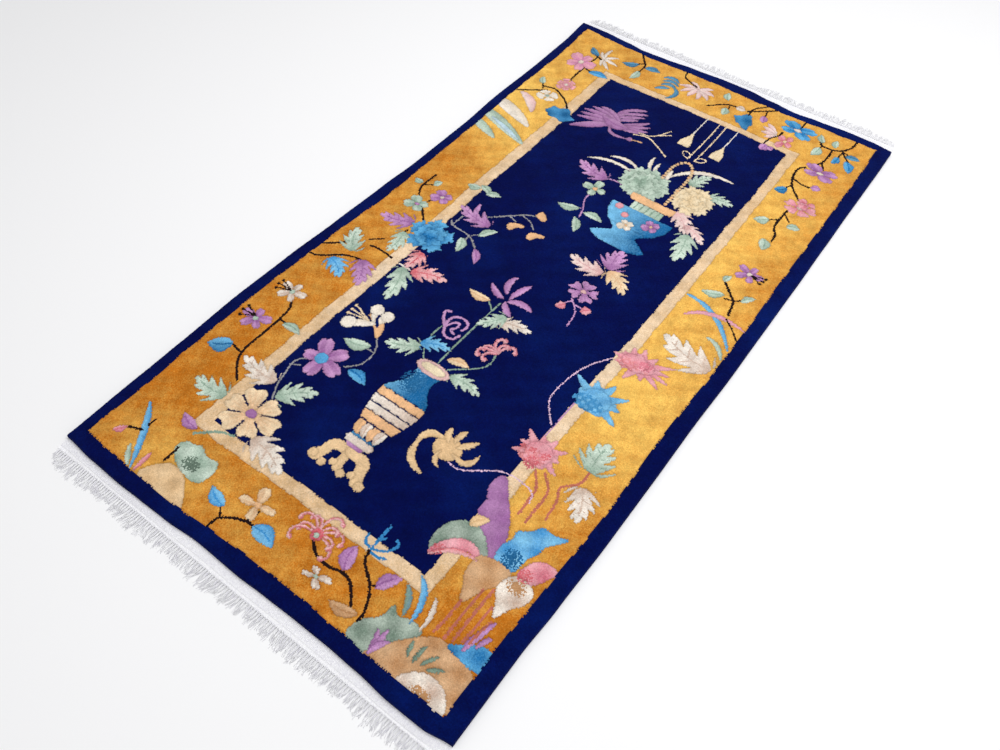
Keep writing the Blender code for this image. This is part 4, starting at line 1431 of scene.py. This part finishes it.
def wool_material(name, bump):
    """Cut wool: colour from the knots, mottled by the nap, with the fuzz of the cut ends."""
    material, tree, shader = fibre_material(name, roughness=0.95, specular=0.05, sheen=0.02)
    shader.inputs["Sheen Roughness"].default_value = 0.45
    place = tree.nodes.new("ShaderNodeTexCoord")
    knots = tree.nodes.new("ShaderNodeVertexColor")
    knots.layer_name = "knots"
    nap, fuzz = new_noise(tree, scale=46.0, detail=5.0), new_noise(tree, scale=620.0, detail=3.0)
    for noise in (nap, fuzz):
        tree.links.new(place.outputs["Object"], noise.inputs["Vector"])
    both = tree.nodes.new("ShaderNodeMath")
    both.operation = "MULTIPLY"
    scale = tree.nodes.new("ShaderNodeVectorMath")
    scale.operation = "SCALE"
    tree.links.new(new_spread(tree, nap, low=0.84, high=1.14).outputs["Result"], both.inputs[0])
    tree.links.new(new_spread(tree, fuzz, low=0.82, high=1.16).outputs["Result"], both.inputs[1])
    tree.links.new(knots.outputs["Color"], scale.inputs[0])
    tree.links.new(both.outputs["Value"], scale.inputs["Scale"])
    tree.links.new(scale.outputs["Vector"], shader.inputs["Base Color"])
    add_relief(tree, shader, fuzz, strength=0.7, distance=bump)
    return material


def cotton_material(name, colours, scale, stretch):
    """Bleached cotton: pale threads with painted shade, a grey, in the low places between them. stretch runs the
    threads one way.
    """
    material, tree, shader = fibre_material(name, roughness=0.9, specular=0.15, sheen=0.1)
    place = tree.nodes.new("ShaderNodeTexCoord")
    mapping = tree.nodes.new("ShaderNodeMapping")
    mapping.inputs["Scale"].default_value = stretch
    threads = new_noise(tree, scale, detail=4.0)
    ramp = tree.nodes.new("ShaderNodeValToRGB")
    # Painted shade: the cotton shade goes where the noise, and so the relief, is low
    stops = ((0.34, colours.cotton_shade), (0.58, colours.cotton))
    for element, (stop, shade) in zip(ramp.color_ramp.elements, stops):
        element.position = stop
        element.color = rgba(shade)
    tree.links.new(place.outputs["Object"], mapping.inputs["Vector"])
    tree.links.new(mapping.outputs["Vector"], threads.inputs["Vector"])
    tree.links.new(threads.outputs["Fac"], ramp.inputs["Fac"])
    tree.links.new(ramp.outputs["Color"], shader.inputs["Base Color"])
    add_relief(tree, shader, threads, strength=0.6, distance=0.0006)
    return material


def settle(piece, material):
    """Gives a finished piece its material and body."""
    piece.data.materials.clear()
    piece.data.materials.append(material)
    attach(piece, BODY)


def make_pile_quarter(side, end, sizes, colours, material):
    """One quarter of the knotted pile, from the middle lines to a corner."""
    low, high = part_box(NODES["pile"])
    shift = plan_shift()
    piece = new_grid(f"knotted_pile_{end[0]}_{side[0]}", sizes.knots_across, sizes.knots_along)
    mesh = piece.data
    unit = coordinates(mesh)
    column = np.rint(unit[:, 0] * sizes.knots_across).astype(int)
    line = np.rint(unit[:, 1] * sizes.knots_along).astype(int)
    rim = sizes.rim_radius / CM
    columns = rim_steps(2 * sizes.knots_across, rim / (2 * HALF_WIDTH))
    columns = columns[: sizes.knots_across + 1] if side[1] < 0 else columns[sizes.knots_across :]
    lines = rim_steps(2 * sizes.knots_along, rim / (2 * HALF_LENGTH))
    lines = lines[: sizes.knots_along + 1] if end[1] < 0 else lines[sizes.knots_along :]
    across, along = 2 * columns[column] - 1, 2 * lines[line] - 1
    x, y = plan_point(across, along)
    z = pile_top((1 - abs(across)) * HALF_WIDTH, (1 - abs(along)) * HALF_LENGTH, x, y, sizes, high[2])
    place_vertices(mesh, np.c_[x * CM + shift[0], y * CM + shift[1], z])
    below_top = high[2] - RIM_DEPTH
    drop_walls(piece, low[2] + WALL_LIFT, lambda point: point.z < below_top)
    points = coordinates(mesh)
    rim_points = np.flatnonzero(points[: len(across), 2] < below_top)
    below = nearest_rows(points[len(across) :, :2], points[rim_points, :2])
    across = np.concatenate((across, across[rim_points][below]))
    along = np.concatenate((along, along[rim_points][below]))
    # Carved edges get painted shade in their colour as well as the real depth given below
    carved = knot_colours(piece, across, along, colours, groove_painted_shade=0.26, seed=11 + 2 * end[1] + side[1])
    draw = np.random.default_rng(5 + 2 * end[1] + side[1])
    top = points[:, 2] > below_top
    off_seam = (abs(across) > 1e-6) & (abs(along) > 1e-6)
    rise = -sizes.groove_depth * carved + sizes.tuft_rise * draw.uniform(-1, 1, len(points)) * off_seam
    points[:, 2] += np.where(top, rise, 0.0)
    place_vertices(mesh, points)
    mesh.shade_smooth()
    settle(piece, material)
    return piece


def make_back(colours, material):
    """The knotted back, which shows the pattern in flat rows of knots."""
    low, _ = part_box(NODES["pile"])
    shift = plan_shift()
    piece = new_grid("knotted_back", *BACK_CELLS)
    unit = coordinates(piece.data)
    across, along = 2 * unit[:, 0] - 1, 2 * unit[:, 1] - 1
    x, y = plan_point(across * 0.9985, along * 0.9992)
    ridge = 0.0002 * np.cos(np.rint(unit[:, 1] * BACK_CELLS[1]) * np.pi)
    edge = (abs(across) > 0.999) | (abs(along) > 0.999)
    z = low[2] + np.where(edge, 0.0, 0.0002 + ridge)
    place_vertices(piece.data, np.c_[x * CM + shift[0], y * CM + shift[1], z])
    piece.data.flip_normals()
    # The back lies flat: its carved edges get painted shade only
    knot_colours(piece, across, along, colours, groove_painted_shade=0.15, seed=23)
    piece.data.shade_smooth()
    settle(piece, material)
    return piece


def make_web(end_name, end, sizes, material):
    """A flat-woven end band: ribs of weft over the warps, following the pile's edge."""
    node = NODES["web"].format(end_name)
    low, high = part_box(node)
    shift = plan_shift()
    ribs = sizes.web_ribs
    piece = new_grid(f"woven_band_{end_name}", WARPS, 2 * ribs)
    unit = coordinates(piece.data)
    across = 2 * unit[:, 0] - 1
    x, pile_edge = plan_point(across, np.full_like(across, float(end)))
    x, pile_edge = x * CM + shift[0], pile_edge * CM + shift[1] + end * GAP
    outer = low[1] if end < 0 else high[1]
    share = unit[:, 1] if end > 0 else 1 - unit[:, 1]
    taper = 1 - 0.007 * share
    step = np.rint(unit[:, 1] * 2 * ribs)
    warp = np.rint(unit[:, 0] * WARPS)
    rib = 0.00045 * np.cos(step * np.pi) + 0.0002 * np.cos(warp * np.pi + step * np.pi / 2)
    wander = 0.0004 * np.sin(37 * x + 5 * share) * np.sin(np.pi * share)
    bare = smooth_step((share - LINE_SHARE) / 0.04)
    rib = rib * (1 - bare) + (0.0006 * np.cos(warp * np.pi) - 0.0007) * bare
    z = high[2] - 0.0006 + rib + 0.0004 * hump(share, LINE_SHARE, 0.03)
    y = pile_edge + (outer - pile_edge) * share + wander
    place_vertices(piece.data, np.c_[x * taper, y, z])
    drop_walls(piece, low[2])
    select_edges(piece, lambda edge: edge.is_boundary)
    bpy.ops.mesh.edge_face_add()
    bpy.ops.object.mode_set(mode="OBJECT")
    piece.data.shade_smooth()
    piece.data.set_sharp_from_angle(angle=np.radians(60))
    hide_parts(node)
    settle(piece, material)
    return piece


def new_strands(name, count, sides, rings, radius):
    """Straight strands in a row, one vertex block each: one is modelled and an array repeats it."""
    clear_selection()
    bpy.ops.mesh.primitive_cylinder_add(vertices=sides, radius=radius, depth=1.0, location=(0, 0, 0.5))
    piece = bpy.context.object
    bpy.ops.object.transform_apply(location=True, rotation=False, scale=False)
    piece.name = name
    piece.data.name = name
    select_edges(piece, lambda edge: abs(edge.verts[0].co.z - edge.verts[1].co.z) > 0.5)
    bpy.ops.mesh.subdivide(number_cuts=rings - 1)
    bpy.ops.object.mode_set(mode="OBJECT")
    repeat = piece.modifiers.new("Repeat", "ARRAY")
    repeat.count = count
    repeat.use_relative_offset = False
    repeat.use_constant_offset = True
    repeat.constant_offset_displace = (1.0, 0.0, 0.0)
    bpy.ops.object.modifier_apply(modifier=repeat.name)
    return piece


def make_fringe(end_name, end, sizes, material, seed):
    """The loose warp ends: side by side at the root, then parting, leaning and curling on the floor."""
    node = NODES["fringe"].format(end_name)
    low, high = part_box(node)
    web_low, web_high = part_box(NODES["web"].format(end_name))
    root_y = web_low[1] if end < 0 else web_high[1]
    root_y -= end * ROOT_OVERLAP
    tip_y = low[1] if end < 0 else high[1]
    longest = abs(tip_y - root_y)
    radius = sizes.strand_radius
    count = sizes.strands
    piece = new_strands(f"loose_warps_{end_name}", count, sides=3, rings=9, radius=radius)
    points = coordinates(piece.data)
    strand = np.clip(np.rint(points[:, 0]).astype(int), 0, count - 1)
    draw = np.random.default_rng(seed)
    first, last = low[0] + SIDE_INSET, high[0] - SIDE_INSET
    tuft, member = np.divmod(np.arange(count), TUFT)
    tufts = tuft[-1] + 1
    member = member - (TUFT - 1) / 2
    place = first + (last - first) * (tuft + 0.5) / tufts + draw.uniform(-0.5, 0.5, tufts)[tuft] * MM
    place += 1.58 * radius * member
    length = longest * draw.uniform(0.68, 0.95, tufts)[tuft] * draw.uniform(0.82, 1.0, count)
    length *= 0.90 + 0.10 * np.sin(np.arange(count) * 0.05)
    from_corner = np.minimum(np.arange(count), count - 1 - np.arange(count)) / CORNER_STRANDS
    length *= 0.6 + 0.4 * smooth_step(from_corner)
    length *= 0.99 * longest / length.max()
    lean = draw.normal(0, 0.15, tufts)[tuft] + draw.normal(0, 0.05, count)
    lean += 0.12 * np.sin(np.arange(count) * 0.037 + seed)
    curl = draw.normal(0, 1.0, count)
    share = points[:, 2]
    sideways = points[:, 0] - strand
    upward = points[:, 1]
    loose = smooth_step((share * length[strand] / longest - 0.22) / 0.78)
    slim = 1 - 0.45 * share**2
    x = place[strand] + sideways * slim
    x += length[strand] * loose * lean[strand] + member[strand] * radius * (1.1 * loose - 0.5 * np.sin(np.pi * share))
    x += 1.1 * MM * loose * np.sin(curl[strand] * 3 + 7 * share)
    x = np.clip(x, low[0] + 0.2 * MM, high[0] - 0.2 * MM)
    y = root_y + end * share * length[strand]
    lift = (high[2] - 2 * radius) * (1 - smooth_step(share * 1.6)) + 0.5 * MM * (1 + np.sin(curl[strand] + 5 * share))
    z = low[2] + radius * 0.55 + upward * slim * end * -1 + lift * (0.35 + 0.65 * (1 - share))
    z = np.maximum(z, low[2])
    place_vertices(piece.data, np.c_[x, y, z])
    clear_selection()
    piece.select_set(True)
    bpy.context.view_layer.objects.active = piece
    bpy.ops.object.mode_set(mode="EDIT")
    bpy.ops.mesh.select_all(action="SELECT")
    bpy.ops.mesh.normals_make_consistent(inside=False)
    bpy.ops.object.mode_set(mode="OBJECT")
    piece.data.shade_smooth()
    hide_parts(node)
    settle(piece, material)
    return piece


class RUG_OT_pile(bpy.types.Operator):
    """Knots the pile in four quarters, with its pattern and carving, and the knotted back"""

    bl_idname = "rug.pile"
    bl_label = "Knotted pile"

    def execute(self, context):
        sizes, colours = context.scene.rug_sizes, context.scene.rug_colours
        wool = wool_material("cut_wool", bump=0.0012)
        quarters = [make_pile_quarter(side, end, sizes, colours, wool) for end in ENDS for side in SIDES]
        back = make_back(colours, wool_material("knotted_wool_back", bump=0.0004))
        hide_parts(NODES["pile"])
        return {"FINISHED"}


class RUG_OT_webs(bpy.types.Operator):
    """Weaves the flat cotton band at each end"""

    bl_idname = "rug.webs"
    bl_label = "Woven bands"

    def execute(self, context):
        sizes, colours = context.scene.rug_sizes, context.scene.rug_colours
        cotton = cotton_material("woven_cotton", colours, scale=900.0, stretch=(1.0, 0.35, 1.0))
        for name, end in ENDS:
            band = make_web(name, end, sizes, cotton)
        return {"FINISHED"}


class RUG_OT_fringes(bpy.types.Operator):
    """Lays out the loose warp ends at each end"""

    bl_idname = "rug.fringes"
    bl_label = "Fringe"

    def execute(self, context):
        sizes, colours = context.scene.rug_sizes, context.scene.rug_colours
        cotton = cotton_material("loose_cotton", colours, scale=500.0, stretch=(1.0, 0.2, 1.0))
        for number, (name, end) in enumerate(ENDS):
            make_fringe(name, end, sizes, cotton, 31 + number)
        return {"FINISHED"}


class RUG_OT_stage(bpy.types.Operator):
    """Adds the floor, the soft light and the camera"""

    bl_idname = "rug.stage"
    bl_label = "Stage"

    def execute(self, context):
        settings = context.scene.rug_stage
        clear_selection()
        bpy.ops.mesh.primitive_plane_add(size=14.0, location=(0, 0, -0.0004))
        floor = context.object
        floor.name = "floor"
        paint = bpy.data.materials.new("pale_floor")
        paint.use_nodes = True
        coat = paint.node_tree.nodes["Principled BSDF"]
        coat.inputs["Base Color"].default_value = rgba(settings.floor_shade)
        coat.inputs["Roughness"].default_value = 0.9
        floor.data.materials.append(paint)
        world = bpy.data.worlds.new("soft_room")
        world.use_nodes = True
        backdrop = world.node_tree.nodes["Background"]
        backdrop.inputs["Color"].default_value = (1.0, 1.0, 1.0, 1.0)
        backdrop.inputs["Strength"].default_value = 0.63
        context.scene.world = world
        bpy.ops.object.light_add(type="AREA", location=(0.7, 0.5, 2.7), rotation=(-0.18, 0.25, 0.0))
        lamp = context.object
        lamp.name = "overhead_lamp"
        lamp.data.shape = "DISK"
        lamp.data.size = 2.2
        lamp.data.energy = settings.lamp_power
        shift = plan_shift()
        _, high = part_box(NODES["pile"])
        place = settings.camera_place
        bpy.ops.object.camera_add(
            location=(place[0] + shift[0], place[1] + shift[1], place[2] + high[2]),
            rotation=settings.camera_turn,
        )
        camera = context.object
        camera.name = "camera"
        camera.data.sensor_width = 36.0
        camera.data.lens = settings.lens
        camera.data.clip_start = 0.01
        context.scene.camera = camera
        context.scene.view_settings.view_transform = "Standard"
        return {"FINISHED"}


class RUG_PT_panel(bpy.types.Panel):
    """Lists the rug's operators and settings"""

    bl_label = "Rug"
    bl_idname = "RUG_PT_panel"
    bl_space_type = "VIEW_3D"
    bl_region_type = "UI"
    bl_category = "Rug"

    def draw(self, context):
        for operator in OPERATORS:
            self.layout.operator(operator.bl_idname)
        for group in (context.scene.rug_sizes, context.scene.rug_colours, context.scene.rug_stage):
            box = self.layout.box()
            for name in group.__annotations__:
                box.prop(group, name)


OPERATORS = (RUG_OT_pile, RUG_OT_webs, RUG_OT_fringes, RUG_OT_stage)
GROUPS = {"rug_sizes": RugSizes, "rug_colours": RugColours, "rug_stage": StageSettings}
CLASSES = (*GROUPS.values(), *OPERATORS, RUG_PT_panel)


def register():
    for item in CLASSES:
        bpy.utils.register_class(item)
    for name, group in GROUPS.items():
        setattr(bpy.types.Scene, name, bpy.props.PointerProperty(type=group))


def unregister():
    for name in GROUPS:
        delattr(bpy.types.Scene, name)
    for item in reversed(CLASSES):
        bpy.utils.unregister_class(item)


def main():
    register()
    bpy.ops.rug.pile()
    bpy.ops.rug.webs()
    bpy.ops.rug.fringes()
    bpy.ops.rug.stage()


if __name__ == "__main__":
    main()
